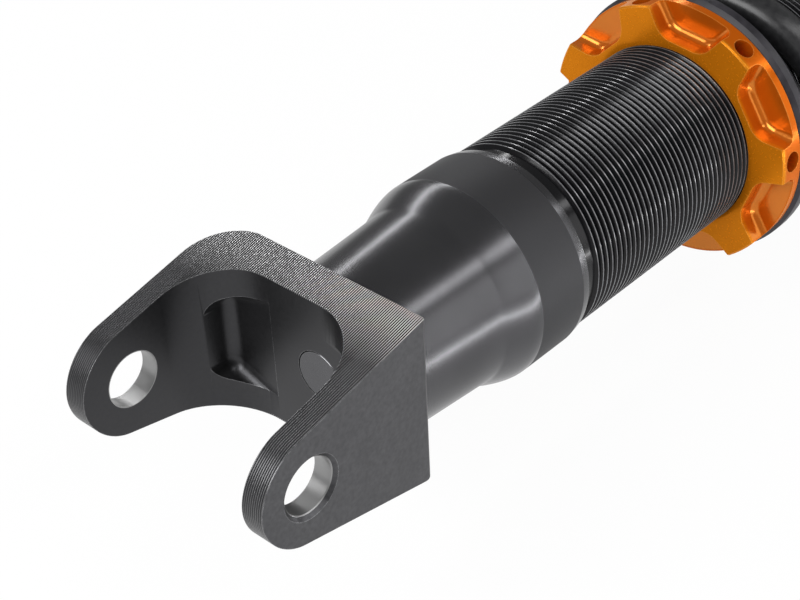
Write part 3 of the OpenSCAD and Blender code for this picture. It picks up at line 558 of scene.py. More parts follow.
on_slope = math_node(nodes, links, "GREATER_THAN", from_middle, (FORK_TIP_R - 0.3) * MM)
round_tip = math_node(
    nodes, links, "MULTIPLY",
    math_node(nodes, links, "GREATER_THAN", from_bolt, (FORK_TIP_R - 0.3) * MM),
    math_node(nodes, links, "LESS_THAN", along_x, 0.0),
)
swept = math_node(nodes, links, "MAXIMUM", on_slope, round_tip)
milled = math_node(nodes, links, "MULTIPLY", not_sideways, swept)
lift = ridge_lift(nodes, links, RIDGE_PITCH)
grain = speckle(nodes, links, 900.0, 4.0)
mottle = speckle(nodes, links, 70.0, 3.0)
tone = ramp_between(
    nodes, links, grain.outputs["Fac"], 0.3, 0.75, (0.066, 0.066, 0.070), (0.096, 0.096, 0.101)
)
stained = blend(
    nodes, links, map_to(nodes, links, mottle.outputs["Fac"], 0.35, 0.7, 0.0, 0.35),
    tone.outputs["Color"], (0.058, 0.058, 0.062),
)
# Painted shade: the slot's inside is drawn darker than the outside.
in_slot = math_node(
    nodes, links, "LESS_THAN",
    math_node(
        nodes, links, "ABSOLUTE",
        math_node(nodes, links, "SUBTRACT", fork_parts.outputs["Y"], (SLOT_NEAR + SLOT_FAR) / 2 * MM),
    ),
    ((SLOT_FAR - SLOT_NEAR) / 2 + 0.2) * MM,
)
shadowed = blend(
    nodes, links, math_node(nodes, links, "MULTIPLY", in_slot, 0.75), stained, (0.036, 0.036, 0.038)
)
crest = math_node(nodes, links, "MULTIPLY", lift, milled)
# Painted highlight and shade: the passes' crests are drawn light and their
# troughs dark. The passes are brightest over the crossbar and fade towards
# the ears' tips, with a faint share kept on the near ear.
fade_x = map_to(nodes, links, along_x, 0.021, 0.035, 0.04, 1.0)
near_share = map_to(nodes, links, fork_parts.outputs["Y"], -0.012, -0.024, 0.0, 0.12)
bright = math_node(nodes, links, "MAXIMUM", fade_x, near_share)
painted_crest_highlight = map_to(nodes, links, lift, 0.44, 0.58)
crest_share = math_node(
    nodes, links, "MULTIPLY", math_node(nodes, links, "MULTIPLY", painted_crest_highlight, milled), bright
)
trough_share = math_node(
    nodes, links, "MULTIPLY", milled, map_to(nodes, links, bright, 0.0, 1.0, 0.55, 1.0)
)
troughs = blend(nodes, links, trough_share, shadowed, (0.012, 0.012, 0.013))
ridged = blend(nodes, links, crest_share, troughs, (0.90, 0.90, 0.91))
# Edge wear and a painted edge highlight: the fork's edges are drawn lighter.
edge_mark = math_node(
    nodes, links, "MULTIPLY", edge_wear_and_sheen(nodes, links, 0.35),
    map_to(nodes, links, grain.outputs["Fac"], 0.3, 0.6, 0.25, 0.9),
)
edged = blend(
    nodes, links, math_node(nodes, links, "MULTIPLY", edge_mark, 0.6), ridged, (0.38, 0.38, 0.39)
)
# The bore is drawn lighter: bare metal worn by the bolt, and a painted reflection inside it.
bored = blend(nodes, links, in_bore, edged, (0.30, 0.30, 0.30))
links.new(bored, shader.inputs["Base Color"])
grain_rough = map_to(nodes, links, grain.outputs["Fac"], 0.2, 0.8, 0.30, 0.42)
links.new(grain_rough, shader.inputs["Roughness"])
grain_bump = add(
    nodes, links, "ShaderNodeBump", Strength=0.06, Distance=0.0002, Height=grain.outputs["Fac"]
)
ridge_bump = add(
    nodes, links, "ShaderNodeBump", Strength=0.8, Distance=0.00006, Height=crest,
    Normal=grain_bump.outputs[0],
)
links.new(ridge_bump.outputs[0], shader.inputs["Normal"])
fork.data.materials.clear()
fork.data.materials.append(fork_finish)

# ---- Lower cap ------------------------------------------------------------
# The body's lower end: turned from aluminium bar, black anodised, with a neck
# that the fork sits on, a swept flare, a band and a tapered lip. The body
# screws into it. Its spigot shows flush in the fork's crossbar.


def turned(name, stations, sides, closed=False):
    """A circle at the first station, extruded through the rest, [x, radius] in millimetres."""
    clear_selection()
    bpy.ops.mesh.primitive_circle_add(
        vertices=sides, radius=stations[0][1] * MM, location=(stations[0][0] * MM, 0, 0),
        rotation=(0, math.pi / 2, 0), fill_type="NOTHING",
    )
    piece = bpy.context.object
    piece.name = name
    settle(piece)
    bpy.ops.object.mode_set(mode="EDIT")
    edge_mode("EDGE")
    bpy.ops.mesh.select_all(action="SELECT")
    if not closed:
        bpy.ops.mesh.edge_face_add()
        bpy.ops.mesh.select_all(action="SELECT")
        bpy.ops.mesh.flip_normals()
    path = list(stations) + ([stations[0]] if closed else [])
    for before, after in zip(path, path[1:]):
        bpy.ops.mesh.extrude_region_move(
            TRANSFORM_OT_translate={"value": ((after[0] - before[0]) * MM, 0, 0)}
        )
        if after[1] != before[1]:
            grow = after[1] / before[1]
            bpy.ops.transform.resize(value=(1, grow, grow), center_override=(after[0] * MM, 0, 0))
    bpy.ops.mesh.select_all(action="SELECT")
    bpy.ops.mesh.remove_doubles(threshold=0.002 * MM)
    bpy.ops.mesh.normals_make_consistent(inside=False)
    bpy.ops.object.mode_set(mode="OBJECT")
    return piece


CAP_R = 29.1
CAP_END = 100.4
CAP_BAND_END = 97.5
CAP_BORE_R = 26.02
CAP_SEAT = 84.0
GAS_POCKET_R = 17.0
CAP_SPIGOT_R = 6.98
NECK_TOP_R = 25.6
FLARE_FROM = 70.0
FLARE_TO = 80.8
FLARE_SWELL = 0.68
FLARE_STEPS = 14

flare_line = []
for step in range(FLARE_STEPS + 1):
    share = step / FLARE_STEPS
    flare_line.append((
        FLARE_FROM + (FLARE_TO - FLARE_FROM) * (2 * FLARE_SWELL * share * (1 - share) + share ** 2),
        NECK_TOP_R + (CAP_R - NECK_TOP_R) * (1 - (1 - share) ** 2),
    ))
cap = turned(
    "cap_shell",
    [(SLOT_FLOOR, 6.68), (30.3, CAP_SPIGOT_R), (FORK_BACK, CAP_SPIGOT_R), (40.02, 23.7), (40.2, 23.88)]
    + flare_line
    + [
        (CAP_BAND_END, CAP_R), (100.2, 28.65), (CAP_END, 28.4), (CAP_END, CAP_BORE_R),
        (CAP_SEAT, CAP_BORE_R), (CAP_SEAT, GAS_POCKET_R), (62.0, GAS_POCKET_R),
    ],
    192,
)
choose(cap)
bpy.ops.object.mode_set(mode="EDIT")
edge_mode("EDGE")
pick(cap, "edges", lambda e: e.is_boundary)
bpy.ops.mesh.edge_face_add()
bpy.ops.mesh.select_all(action="SELECT")
bpy.ops.mesh.normals_make_consistent(inside=False)
bpy.ops.object.mode_set(mode="OBJECT")
shade(cap, 24.0)
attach(cap, "damper_body")
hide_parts("lower_cap")

cap_finish, nodes, links, shader = new_finish("cap_anodised", (0.085, 0.085, 0.09), 0.9, 0.24)
swirl = speckle(nodes, links, 700.0, 3.0, (14.0, 1.0, 1.0))
mottle = speckle(nodes, links, 55.0, 3.0)
tone = ramp_between(
    nodes, links, mottle.outputs["Fac"], 0.3, 0.7, (0.076, 0.076, 0.080), (0.092, 0.092, 0.097)
)
cap_parts = own_coordinates(nodes, links)
band_start = map_to(nodes, links, cap_parts.outputs["X"], FLARE_TO * MM, (FLARE_TO + 0.3) * MM)
band_stop = map_to(
    nodes, links, cap_parts.outputs["X"], (CAP_BAND_END + 0.1) * MM, (CAP_BAND_END - 0.1) * MM
)
on_band = math_node(nodes, links, "MULTIPLY", band_start, band_stop)
banded = blend(nodes, links, on_band, tone.outputs["Color"], (0.052, 0.052, 0.055))
# Edge wear and a painted edge highlight: the cap's edges are drawn lighter.
cap_edge = math_node(nodes, links, "MULTIPLY", edge_wear_and_sheen(nodes, links, 0.30), 0.35)
edged = blend(nodes, links, cap_edge, banded, (0.36, 0.36, 0.37))
links.new(edged, shader.inputs["Base Color"])
turned_rough = map_to(nodes, links, swirl.outputs["Fac"], 0.2, 0.8, 0.20, 0.28)
matt_rough = math_node(nodes, links, "MULTIPLY_ADD", on_band, 0.36, turned_rough)
links.new(matt_rough, shader.inputs["Roughness"])
turned_bump = add(
    nodes, links, "ShaderNodeBump", Strength=0.05, Distance=0.0001, Height=swirl.outputs["Fac"]
)
links.new(turned_bump.outputs[0], shader.inputs["Normal"])
cap.data.materials.append(cap_finish)

# ---- Threaded body --------------------------------------------------------
# The damper's tube: drawn aluminium, turned outside, screwed into the cap
# below, with a thread of 2 mm pitch cut along it for the spring seat, and
# gloss black anodised.

THREAD_FROM = 104.5
THREAD_TO = 262.0
THREAD_PITCH = 2.0
THREAD_CREST_R = 28.0
THREAD_ROOT_R = 26.8
THREAD_DEPTH = 1.2
THREAD_STEPS = 96
BODY_END = 299.9
RELIEF_R = 27.0
SPIGOT_R = 26.0
SMOOTH_R = 26.7
BORE_R = 23.0

clear_selection()
bpy.ops.mesh.primitive_circle_add(
    vertices=4, radius=0.5 * MM, location=((THREAD_FROM - THREAD_PITCH) * MM, 0, 0), fill_type="NOTHING"
)
body = bpy.context.object
body.name = "body_tube"
settle(body)
bpy.ops.object.mode_set(mode="EDIT")
edge_mode("VERT")
bpy.ops.mesh.select_all(action="SELECT")
bpy.ops.mesh.merge(type="CENTER")
bpy.ops.transform.translate(value=(0, 0, THREAD_ROOT_R * MM))
# One tooth: its root, rising flank, crest and falling flank.
tooth = ((0.45, 0.0), (0.68, THREAD_DEPTH), (0.24, 0.0), (0.63, -THREAD_DEPTH))
turns_of_line = int((THREAD_TO - THREAD_FROM) / THREAD_PITCH) + 3
for turn in range(turns_of_line):
    for forward, out in tooth:
        bpy.ops.mesh.extrude_vertices_move(
            TRANSFORM_OT_translate={"value": (forward * MM, 0, out * MM)}
        )
bpy.ops.object.mode_set(mode="OBJECT")
screw = body.modifiers.new("screw", "SCREW")
screw.axis = "X"
screw.angle = 2 * math.pi
screw.screw_offset = -THREAD_PITCH * MM
screw.steps = THREAD_STEPS
screw.render_steps = THREAD_STEPS
screw.use_merge_vertices = True
screw.merge_threshold = 0.01 * MM
finish_modifier(body, screw)
bpy.ops.object.mode_set(mode="EDIT")
bpy.ops.mesh.select_all(action="SELECT")
bpy.ops.mesh.remove_doubles(threshold=0.01 * MM)
for plane_x, way in ((THREAD_FROM, -1), (THREAD_TO, 1)):
    bpy.ops.mesh.select_all(action="SELECT")
    bpy.ops.mesh.bisect(
        plane_co=(plane_x * MM, 0, 0), plane_no=(way, 0, 0), clear_outer=True, use_fill=False,
        threshold=0.0005 * MM,
    )


def ring_to(piece, radius):
    """Puts every selected point at one radius from the damper's axis."""
    net = bmesh.from_edit_mesh(piece.data)
    for point in net.verts:
        if point.select:
            reach = math.hypot(point.co.y, point.co.z)
            point.co.y *= radius * MM / reach
            point.co.z *= radius * MM / reach
    bmesh.update_edit_mesh(piece.data)


for plane_x, line in (
    (THREAD_FROM, [
        (THREAD_FROM, RELIEF_R), (100.6, RELIEF_R), (100.42, 26.8), (100.42, SPIGOT_R),
        (CAP_SEAT, SPIGOT_R), (CAP_SEAT, BORE_R),
    ]),
    (THREAD_TO, [(THREAD_TO, SMOOTH_R), (299.5, SMOOTH_R), (BODY_END, 26.3), (BODY_END, BORE_R)]),
):
    edge_mode("EDGE")
    pick(body, "edges", lambda e: e.is_boundary and all(lies(v.co.x, plane_x) for v in e.verts))
    at_x = plane_x
    for x, radius in line:
        bpy.ops.mesh.extrude_region_move(TRANSFORM_OT_translate={"value": ((x - at_x) * MM, 0, 0)})
        ring_to(body, radius)
        at_x = x
bpy.ops.mesh.select_all(action="DESELECT")
pick(body, "edges", lambda e: e.is_boundary)
bpy.ops.mesh.bridge_edge_loops()
bpy.ops.mesh.select_all(action="SELECT")
bpy.ops.mesh.normals_make_consistent(inside=False)
bpy.ops.object.mode_set(mode="OBJECT")
shade(body, 24.0)
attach(body, "damper_body")
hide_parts("threaded_body")

body_finish, nodes, links, shader = new_finish("body_gloss_black", (0.012, 0.012, 0.013), 0.35, 0.16)
body_parts = own_coordinates(nodes, links)
reach = distance(nodes, links, body_parts.outputs["Y"], body_parts.outputs["Z"])
# Painted highlight: the thread's crests are drawn light against dark grooves, along a line that wanders a
# little.
crest_jitter = speckle(nodes, links, 240.0, 3.0)
jittered_reach = math_node(nodes, links, "MULTIPLY_ADD", crest_jitter.outputs["Fac"], 0.00015, reach)
# A ramp runs from 0 to 1, so the radius is brought there first.
REACH_SCALE = 20.0
painted_crest_highlight = ramp_between(
    nodes, links, math_node(nodes, links, "MULTIPLY", jittered_reach, REACH_SCALE),
    (THREAD_CREST_R - 0.01) * MM * REACH_SCALE, (THREAD_CREST_R + 0.085) * MM * REACH_SCALE,
    (0.007, 0.007, 0.008), (0.22, 0.22, 0.23),
)
links.new(painted_crest_highlight.outputs["Color"], shader.inputs["Base Color"])
shader.inputs["Specular IOR Level"].default_value = 0.35
mist = speckle(nodes, links, 1500.0, 2.0)
mist_rough = map_to(nodes, links, mist.outputs["Fac"], 0.0, 1.0, 0.12, 0.22)
links.new(mist_rough, shader.inputs["Roughness"])
mist_bump = add(
    nodes, links, "ShaderNodeBump", Strength=0.05, Distance=0.0001, Height=mist.outputs["Fac"]
)
links.new(mist_bump.outputs[0], shader.inputs["Normal"])
body.data.materials.append(body_finish)

# ---- Adjuster collar ------------------------------------------------------
# The spring seat's nut: turned and milled from aluminium, orange anodised,
# with seven pockets for a hook spanner and a pin hole in each lobe. It runs
# on the body's thread.

COLLAR_FRONT = 173.8
COLLAR_BACK = 182.4
COLLAR_FLOOR = 180.2
COLLAR_R = 40.0
COLLAR_BORE_R = 28.05
POCKET_COUNT = 7
LOBE_TURN = math.radians(6.5)
LOBE_ANGLE = math.radians(15.5)
POCKET_STEP = 2 * math.pi / POCKET_COUNT
POCKET_RISE = 1.3
POCKET_IN_R = 30.5
POCKET_OUT_R = 46.0
POCKET_IN_ANGLE = math.radians(13.0)
POCKET_CORNER_R = 3.0
POCKET_FLOOR_R = 2.6

collar = turned(
    "collar_ring",
    [
        (COLLAR_FRONT, 29.6), (COLLAR_FRONT, 39.6), (174.2, COLLAR_R), (182.0, COLLAR_R),
        (COLLAR_BACK, 39.6), (COLLAR_BACK, COLLAR_BORE_R), (174.2, COLLAR_BORE_R),
    ],
    168, closed=True,
)


def copy_round(piece, count):
    """Repeats a piece's mesh evenly about the damper's axis."""
    choose(piece)
    bpy.ops.object.mode_set(mode="EDIT")
    bpy.ops.mesh.select_all(action="SELECT")
    bpy.ops.mesh.spin(
        dupli=True, steps=count - 1, angle=2 * math.pi * (count - 1) / count,
        center=(0, 0, 0), axis=(1, 0, 0),
    )
    bpy.ops.mesh.select_all(action="SELECT")
    bpy.ops.object.mode_set(mode="OBJECT")


def turn_about_axis(piece, angle):
    """Turns a piece about the damper's axis."""
    piece.data.transform(Matrix.Rotation(angle, 4, "X"))


# A pocket's sides part from its inner side, 7 mm half width, out to the rim,
# where a lobe is left between it and the next. Its floor rises on the way.
rim_half = POCKET_STEP / 2 - LOBE_ANGLE / 2
inner_half = POCKET_IN_R * math.tan(POCKET_IN_ANGLE)
rim_y = COLLAR_R * math.cos(rim_half)
rim_half_width = COLLAR_R * math.sin(rim_half)
side_grow = (rim_half_width - inner_half) / (rim_y - POCKET_IN_R)
outer_half = inner_half + (POCKET_OUT_R - POCKET_IN_R) * side_grow
pocket = block(
    "pocket_cut",
    (COLLAR_FRONT - 4.0, -POCKET_OUT_R, -inner_half), (COLLAR_FLOOR, -POCKET_IN_R, inner_half),
)
bpy.ops.object.mode_set(mode="EDIT")
edge_mode("FACE")
pick(pocket, "faces", lambda f: f.normal.y < -0.9)
bpy.ops.transform.resize(value=(1, 1, outer_half / inner_half))
edge_mode("EDGE")
pick(
    pocket, "edges",
    lambda e: all(lies(v.co.x, COLLAR_FLOOR) and lies(v.co.y, -POCKET_OUT_R) for v in e.verts),
)
bpy.ops.transform.translate(value=(-POCKET_RISE * MM, 0, 0))
bpy.ops.object.mode_set(mode="OBJECT")
bevel_edges(
    pocket,
    lambda e: runs_along(e, 0) and lies(e.verts[0].co.y, -POCKET_IN_R),
    POCKET_CORNER_R, 8,
)
bevel_edges(
    pocket,
    lambda e: all(v.co.x > (COLLAR_FLOOR - POCKET_RISE - 0.1) * MM for v in e.verts)
    and not all(lies(v.co.y, -POCKET_OUT_R) for v in e.verts),
    POCKET_FLOOR_R, 6,
)
copy_round(pocket, POCKET_COUNT)
turn_about_axis(pocket, -(LOBE_TURN + POCKET_STEP / 2))
cut_away(collar, pocket)

PIN_HOLE_R = 3.0
PIN_HOLE_DEPTH = 7.0
PIN_HOLE_X = 178.1

pin_hole = rod_between(
    "pin_hole_cut", "Y", -(COLLAR_R + 2.0), -(COLLAR_R - PIN_HOLE_DEPTH), PIN_HOLE_R, 32,
    (PIN_HOLE_X, 0, 0),
)
copy_round(pin_hole, POCKET_COUNT)
turn_about_axis(pin_hole, -LOBE_TURN)
cut_away(collar, pin_hole)
break_edges(collar, 0.22, 2, 35.0)
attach(collar, "collar")
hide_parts("adjuster_collar")

collar_finish, nodes, links, shader = new_finish("orange_anodised", (0.55, 0.17, 0.005), 0.40, 0.26)
stain = speckle(nodes, links, 60.0, 3.0)
stain_tone = ramp_between(
    nodes, links, stain.outputs["Fac"], 0.3, 0.75, (0.53, 0.155, 0.004), (0.59, 0.180, 0.005)
)
collar_parts = own_coordinates(nodes, links)
below_face = map_to(
    nodes, links, collar_parts.outputs["X"], (COLLAR_FRONT + 0.5) * MM, (COLLAR_FRONT + 1.6) * MM
)
# Painted shade: behind the front face, in the pockets and round the rim, the colour is drawn darker and
# redder.
deeper = blend(
    nodes, links, math_node(nodes, links, "MULTIPLY", below_face, 0.8),
    stain_tone.outputs["Color"], (0.52, 0.085, 0.003),
)
# Edge wear and a painted edge highlight: the collar's edges are drawn a light yellow orange.
collar_edge = math_node(nodes, links, "MULTIPLY", edge_wear_and_sheen(nodes, links, 0.30), 0.45)
edged = blend(nodes, links, collar_edge, deeper, (0.92, 0.50, 0.12))
links.new(edged, shader.inputs["Base Color"])
tooling = speckle(nodes, links, 1100.0, 2.0)
tooling_rough = map_to(nodes, links, tooling.outputs["Fac"], 0.2, 0.8, 0.21, 0.30)
pocket_gloss = math_node(nodes, links, "MULTIPLY_ADD", below_face, -0.06, tooling_rough)
links.new(pocket_gloss, shader.inputs["Roughness"])
shader.inputs["IOR"].default_value = 1.9
from_axis = distance(nodes, links, collar_parts.outputs["Y"], collar_parts.outputs["Z"])
in_pocket = math_node(
    nodes, links, "MULTIPLY", below_face,
    map_to(nodes, links, from_axis, (COLLAR_R - 0.6) * MM, (COLLAR_R - 0.2) * MM, 1.0, 0.0),
)
pocket_shine = math_node(nodes, links, "MULTIPLY_ADD", in_pocket, 0.86, 0.04)
links.new(pocket_shine, shader.inputs["Specular IOR Level"])
shader.inputs["Specular Tint"].default_value = (1.0, 0.78, 0.22, 1)
collar.data.materials.append(collar_finish)

# ---- Spring isolators -----------------------------------------------------
# Black moulded rings between the spring and its two seats, each with a tapered
# front edge and a pilot that centres the spring.


def isolator_ring(name, seat_x, way):
    """One isolator, its seat at seat_x and its pilot towards the spring."""
    line = [
        (0.0, 28.3), (0.0, 39.7), (0.10, 39.85), (1.1, 40.95), (1.3, 41.0), (3.8, 41.0), (4.0, 40.8),
        (4.0, 29.7), (9.3, 29.7), (9.5, 29.5), (9.5, 28.3),
    ]
    piece = turned(name, [(seat_x + way * x, r) for x, r in line], 144, closed=True)
    shade(piece, 24.0)
    return piece


LOWER_SEAT_X = 182.5
UPPER_SEAT_X = 390.5

lower_isolator = isolator_ring("lower_isolator", LOWER_SEAT_X, 1)
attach(lower_isolator, "spring_seat")
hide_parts("spring_isolator")
top_isolator = isolator_ring("top_isolator", UPPER_SEAT_X, -1)
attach(top_isolator, "rod_assembly")
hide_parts("upper_isolator")


def break_up(nodes, links, shader, noise, dark, light, light_at, rough, relief, depth=0.0001):
    """Takes a surface's tone, gloss and fine relief from one noise."""
    tone = ramp_between(nodes, links, noise.outputs["Fac"], 0.3, light_at, dark, light)
    links.new(tone.outputs["Color"], shader.inputs["Base Color"])
    links.new(map_to(nodes, links, noise.outputs["Fac"], 0.0, 1.0, *rough), shader.inputs["Roughness"])
    bump = add(
        nodes, links, "ShaderNodeBump", Strength=relief, Distance=depth, Height=noise.outputs["Fac"]
    )
    links.new(bump.outputs[0], shader.inputs["Normal"])


isolator_finish, nodes, links, shader = new_finish("isolator_black", (0.012, 0.011, 0.014), 0.0, 0.36)
shader.inputs["Specular IOR Level"].default_value = 0.35
bloom = speckle(nodes, links, 320.0, 4.0)
break_up(nodes, links, shader, bloom, (0.010, 0.009, 0.012), (0.026, 0.024, 0.030), 0.75, (0.34, 0.52), 0.10)
for ring in (lower_isolator, top_isolator):
    ring.data.materials.append(isolator_finish)

# ---- Coil spring ----------------------------------------------------------
# Wound from 11 mm steel wire, six turns, its end turns closed and ground
# flat, then shot-peened and powder coated black. It stands between the two
# isolators; the real spring shortens as the rod goes in, and this one is
# drawn at one length.

ISOLATOR_T = 4.0
SPRING_FROM = LOWER_SEAT_X + ISOLATOR_T
SPRING_TO = UPPER_SEAT_X - ISOLATOR_T
WIRE_R = 5.5
COIL_R = 35.5
COIL_TURNS = 6
WIRE_START = math.radians(72.0)
TIP_SHARE = 0.25
TIP_SINK = WIRE_R - TIP_SHARE * 2 * WIRE_R
END_GAP = 0.6
END_PITCH = 2 * WIRE_R + END_GAP
OPEN_FROM = 0.75
OPEN_TO = 1.05
RINGS_A_TURN = 72
WIRE_SIDES = 28

clear_selection()
bpy.ops.mesh.primitive_circle_add(
    vertices=WIRE_SIDES, radius=WIRE_R * MM, location=(0, -COIL_R * MM, 0), fill_type="NOTHING"
)
spring = bpy.context.object
spring.name = "spring_wire"
settle(spring)
wind = spring.modifiers.new("wind", "SCREW")
wind.axis = "X"
wind.angle = 2 * math.pi * COIL_TURNS
wind.screw_offset = 0.060
wind.steps = RINGS_A_TURN * COIL_TURNS
wind.render_steps = RINGS_A_TURN * COIL_TURNS
finish_modifier(spring, wind)

wire_rise = SPRING_TO - SPRING_FROM + 2 * TIP_SINK
open_pitch = END_PITCH + (wire_rise - END_PITCH * COIL_TURNS) / (COIL_TURNS - OPEN_FROM - OPEN_TO)


def eased(u, start, end):
    """Turns past a blend that runs from start to end."""
    if u < start:
        return 0.0
    if u < end:
        return (u - start) ** 2 / (2 * (end - start))
    return u - (start + end) / 2


def wire_middle(u):
    """Where the wire's middle lies along the damper after u turns."""
    opened = eased(u, OPEN_FROM, OPEN_TO) - eased(u, COIL_TURNS - OPEN_TO, COIL_TURNS - OPEN_FROM)
    return SPRING_FROM - TIP_SINK + END_PITCH * u + (open_pitch - END_PITCH) * opened


# The even winding is drawn out to the closed ends and ground at both seats.
for index, point in enumerate(spring.data.vertices):
    u = index // WIRE_SIDES / RINGS_A_TURN
    k = 2 * math.pi * (index % WIRE_SIDES) / WIRE_SIDES
    reach = COIL_R + WIRE_R * math.cos(k)
    x = wire_middle(u) + WIRE_R * math.sin(k)
    x = min(max(x, SPRING_FROM), SPRING_TO)
    angle = WIRE_START - 2 * math.pi * u
    point.co = Vector((x, -reach * math.cos(angle), reach * math.sin(angle))) * MM
bpy.ops.object.mode_set(mode="EDIT")
edge_mode("EDGE")
pick(spring, "edges", lambda e: e.is_boundary)
bpy.ops.mesh.edge_face_add()
bpy.ops.mesh.select_all(action="SELECT")
bpy.ops.mesh.normals_make_consistent(inside=False)
bpy.ops.object.mode_set(mode="OBJECT")
shade(spring, 40.0)
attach(spring, "spring_seat")
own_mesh(spring)
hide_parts("coil_spring")

spring_finish, nodes, links, shader = new_finish("spring_powder_black", (0.012, 0.012, 0.013), 0.0, 0.30)
peel = speckle(nodes, links, 620.0, 2.0)
break_up(
    nodes, links, shader, peel, (0.009, 0.009, 0.010), (0.018, 0.018, 0.019), 0.7, (0.25, 0.38), 0.18, 0.0002
)
spring.data.materials.append(spring_finish)

# ---- Bump stop ------------------------------------------------------------
# A bellows of cellular urethane, cast in one piece with two waists. It slides
# over the rod and meets the body's end before the spring goes solid.


def turned_finish(name, dark, light, metallic, rough_low, rough_high, scale=800.0, relief=0.08):
    """A machined or moulded surface: two tones, uneven gloss, fine marks."""
    finish, nodes, links, shader = new_finish(name, light, metallic, (rough_low + rough_high) / 2)
    marks = speckle(nodes, links, scale, 3.0, (6.0, 1.0, 1.0))
    break_up(nodes, links, shader, marks, dark, light, 0.72, (rough_low, rough_high), relief, 0.00015)
    return finish


BUMP_TO = UPPER_SEAT_X
BUMP_LEN = 15.0
BUMP_FROM = BUMP_TO - BUMP_LEN
BUMP_HOLE_R = 7.05
BUMP_WAIST_R = 16.0
BUMP_SWELL = 2.95
BUMP_STEPS = 36

bump_line = [(BUMP_FROM, BUMP_HOLE_R), (BUMP_FROM, 15.7)]
for step in range(1, BUMP_STEPS):
    share = step / BUMP_STEPS
    swell = min(1.0, 8 * share) * (0.5 - 0.5 * math.cos(4 * math.pi * min(share, 0.75)))
    bump_line.append((BUMP_FROM + BUMP_LEN * share, BUMP_WAIST_R + BUMP_SWELL * swell))
bump_line += [(BUMP_TO, 18.9), (BUMP_TO, BUMP_HOLE_R)]
bump = turned("bump_bellows", bump_line, 96, closed=True)
shade(bump, 40.0)
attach(bump, "rod_assembly")
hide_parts("bump_stop")
stop_foam = turned_finish("stop_foam", (0.50, 0.38, 0.14), (0.66, 0.52, 0.22), 0.0, 0.72, 0.92, 420.0, 0.5)
bump.data.materials.append(stop_foam)

# ---- Upper perch ----------------------------------------------------------
# The spring's upper seat: turned from aluminium bar with a hub, black
# anodised, and clamped on the rod's shoulder by the top nut.

PERCH_R = 41.25
PERCH_HUB_R = 20.0
PERCH_END = 404.0
ROD_HOLE_R = 7.02
ROD_TOP_HOLE_R = 6.02
ROD_STEP_X = 392.5

perch = turned(
    "perch_disc",
    [
        (UPPER_SEAT_X, ROD_HOLE_R), (UPPER_SEAT_X, 40.85), (390.9, PERCH_R), (396.1, PERCH_R),
        (396.5, 40.85), (396.5, 21.0), (396.6, 20.5), (396.9, 20.15), (397.4, PERCH_HUB_R),
        (403.5, PERCH_HUB_R), (PERCH_END, 19.5), (PERCH_END, ROD_TOP_HOLE_R),
        (ROD_STEP_X, ROD_TOP_HOLE_R), (ROD_STEP_X, ROD_HOLE_R),
    ],
    144, closed=True,
)
shade(perch, 30.0)
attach(perch, "rod_assembly")
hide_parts("upper_perch")
perch.data.materials.append(cap_finish)

# ---- Ball spacers, washer and nut -----------------------------------------
# Turned steel: a spacer on each side of the ball, a washer with its edge
# broken, and a chamfered hexagon nut that clamps them on the rod.

ground_steel = turned_finish("ground_steel", (0.36, 0.36, 0.38), (0.50, 0.50, 0.52), 1.0, 0.24, 0.38)
for name, node_name, low, high, outer in (
    ("spacer_below", "lower_ball_spacer", PERCH_END, 412.0, 10.0),
    ("spacer_above", "upper_ball_spacer", 428.0, 434.0, 10.0),
    ("washer_top", "top_washer", 434.0, 435.5, 11.0),
):
    spacer = turned(
        name,
        [
            (low, ROD_TOP_HOLE_R), (low, outer - 0.3), (low + 0.3, outer), (high - 0.3, outer),
            (high, outer - 0.3), (high, ROD_TOP_HOLE_R),
        ],
        72, closed=True,
    )
    shade(spacer, 30.0)
    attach(spacer, "rod_assembly")
    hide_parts(node_name)
    spacer.data.materials.append(ground_steel)

NUT_FLATS = 19.0

nut = rod_between("nut_hexagon", "X", 435.5, 442.5, NUT_FLATS / math.sqrt(3.0), 6)
turn_about_axis(nut, math.radians(30.0))
nut_cone = turned("nut_cone", [(435.4, 9.2), (436.6, 11.1), (441.4, 11.1), (442.6, 9.2)], 96)
cut_away(nut, nut_cone, "INTERSECT")
nut_bore = rod_between("nut_bore", "X", 435.0, 443.0, ROD_TOP_HOLE_R, 64)
cut_away(nut, nut_bore)
break_edges(nut, 0.12, 2, 35.0)
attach(nut, "rod_assembly")
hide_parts("top_nut")
nut.data.materials.append(ground_steel)

# ---- Top plate ------------------------------------------------------------
# The mount that bolts to the car: a disc turned from aluminium bar with a
# boss for the ball joint, black anodised, drilled for three studs.

PLATE_R = 55.0
BOSS_R = 24.0
RACE_HOLE_R = 17.02
CLIP_GROOVE_R = 18.02
LIP_HOLE_R = 15.5
STUD_CIRCLE_R = 44.0
STUD_COUNT = 3

plate = turned(
    "plate_disc",
    [
        (413.0, LIP_HOLE_R), (413.0, 23.5), (413.5, BOSS_R), (415.5, BOSS_R), (415.85, 24.15),
        (416.0, 24.5), (416.0, 54.5), (416.5, PLATE_R), (423.5, PLATE_R), (424.0, 54.5),
        (424.0, 24.5), (424.15, 24.15), (424.5, BOSS_R), (427.7, BOSS_R), (428.2, 23.5),
        (428.2, RACE_HOLE_R), (427.2, RACE_HOLE_R), (427.2, CLIP_GROOVE_R), (426.0, CLIP_GROOVE_R),
        (426.0, RACE_HOLE_R), (414.0, RACE_HOLE_R), (414.0, LIP_HOLE_R),
    ],
    180, closed=True,
)
stud_hole = rod_between("stud_hole_cut", "X", 415.0, 425.0, 4.42, 48, (0, 0, STUD_CIRCLE_R))
copy_round(stud_hole, STUD_COUNT)
cut_away(plate, stud_hole)
shade(plate, 30.0)
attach(plate, "top_mount")
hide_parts("top_plate")
plate.data.materials.append(cap_finish)

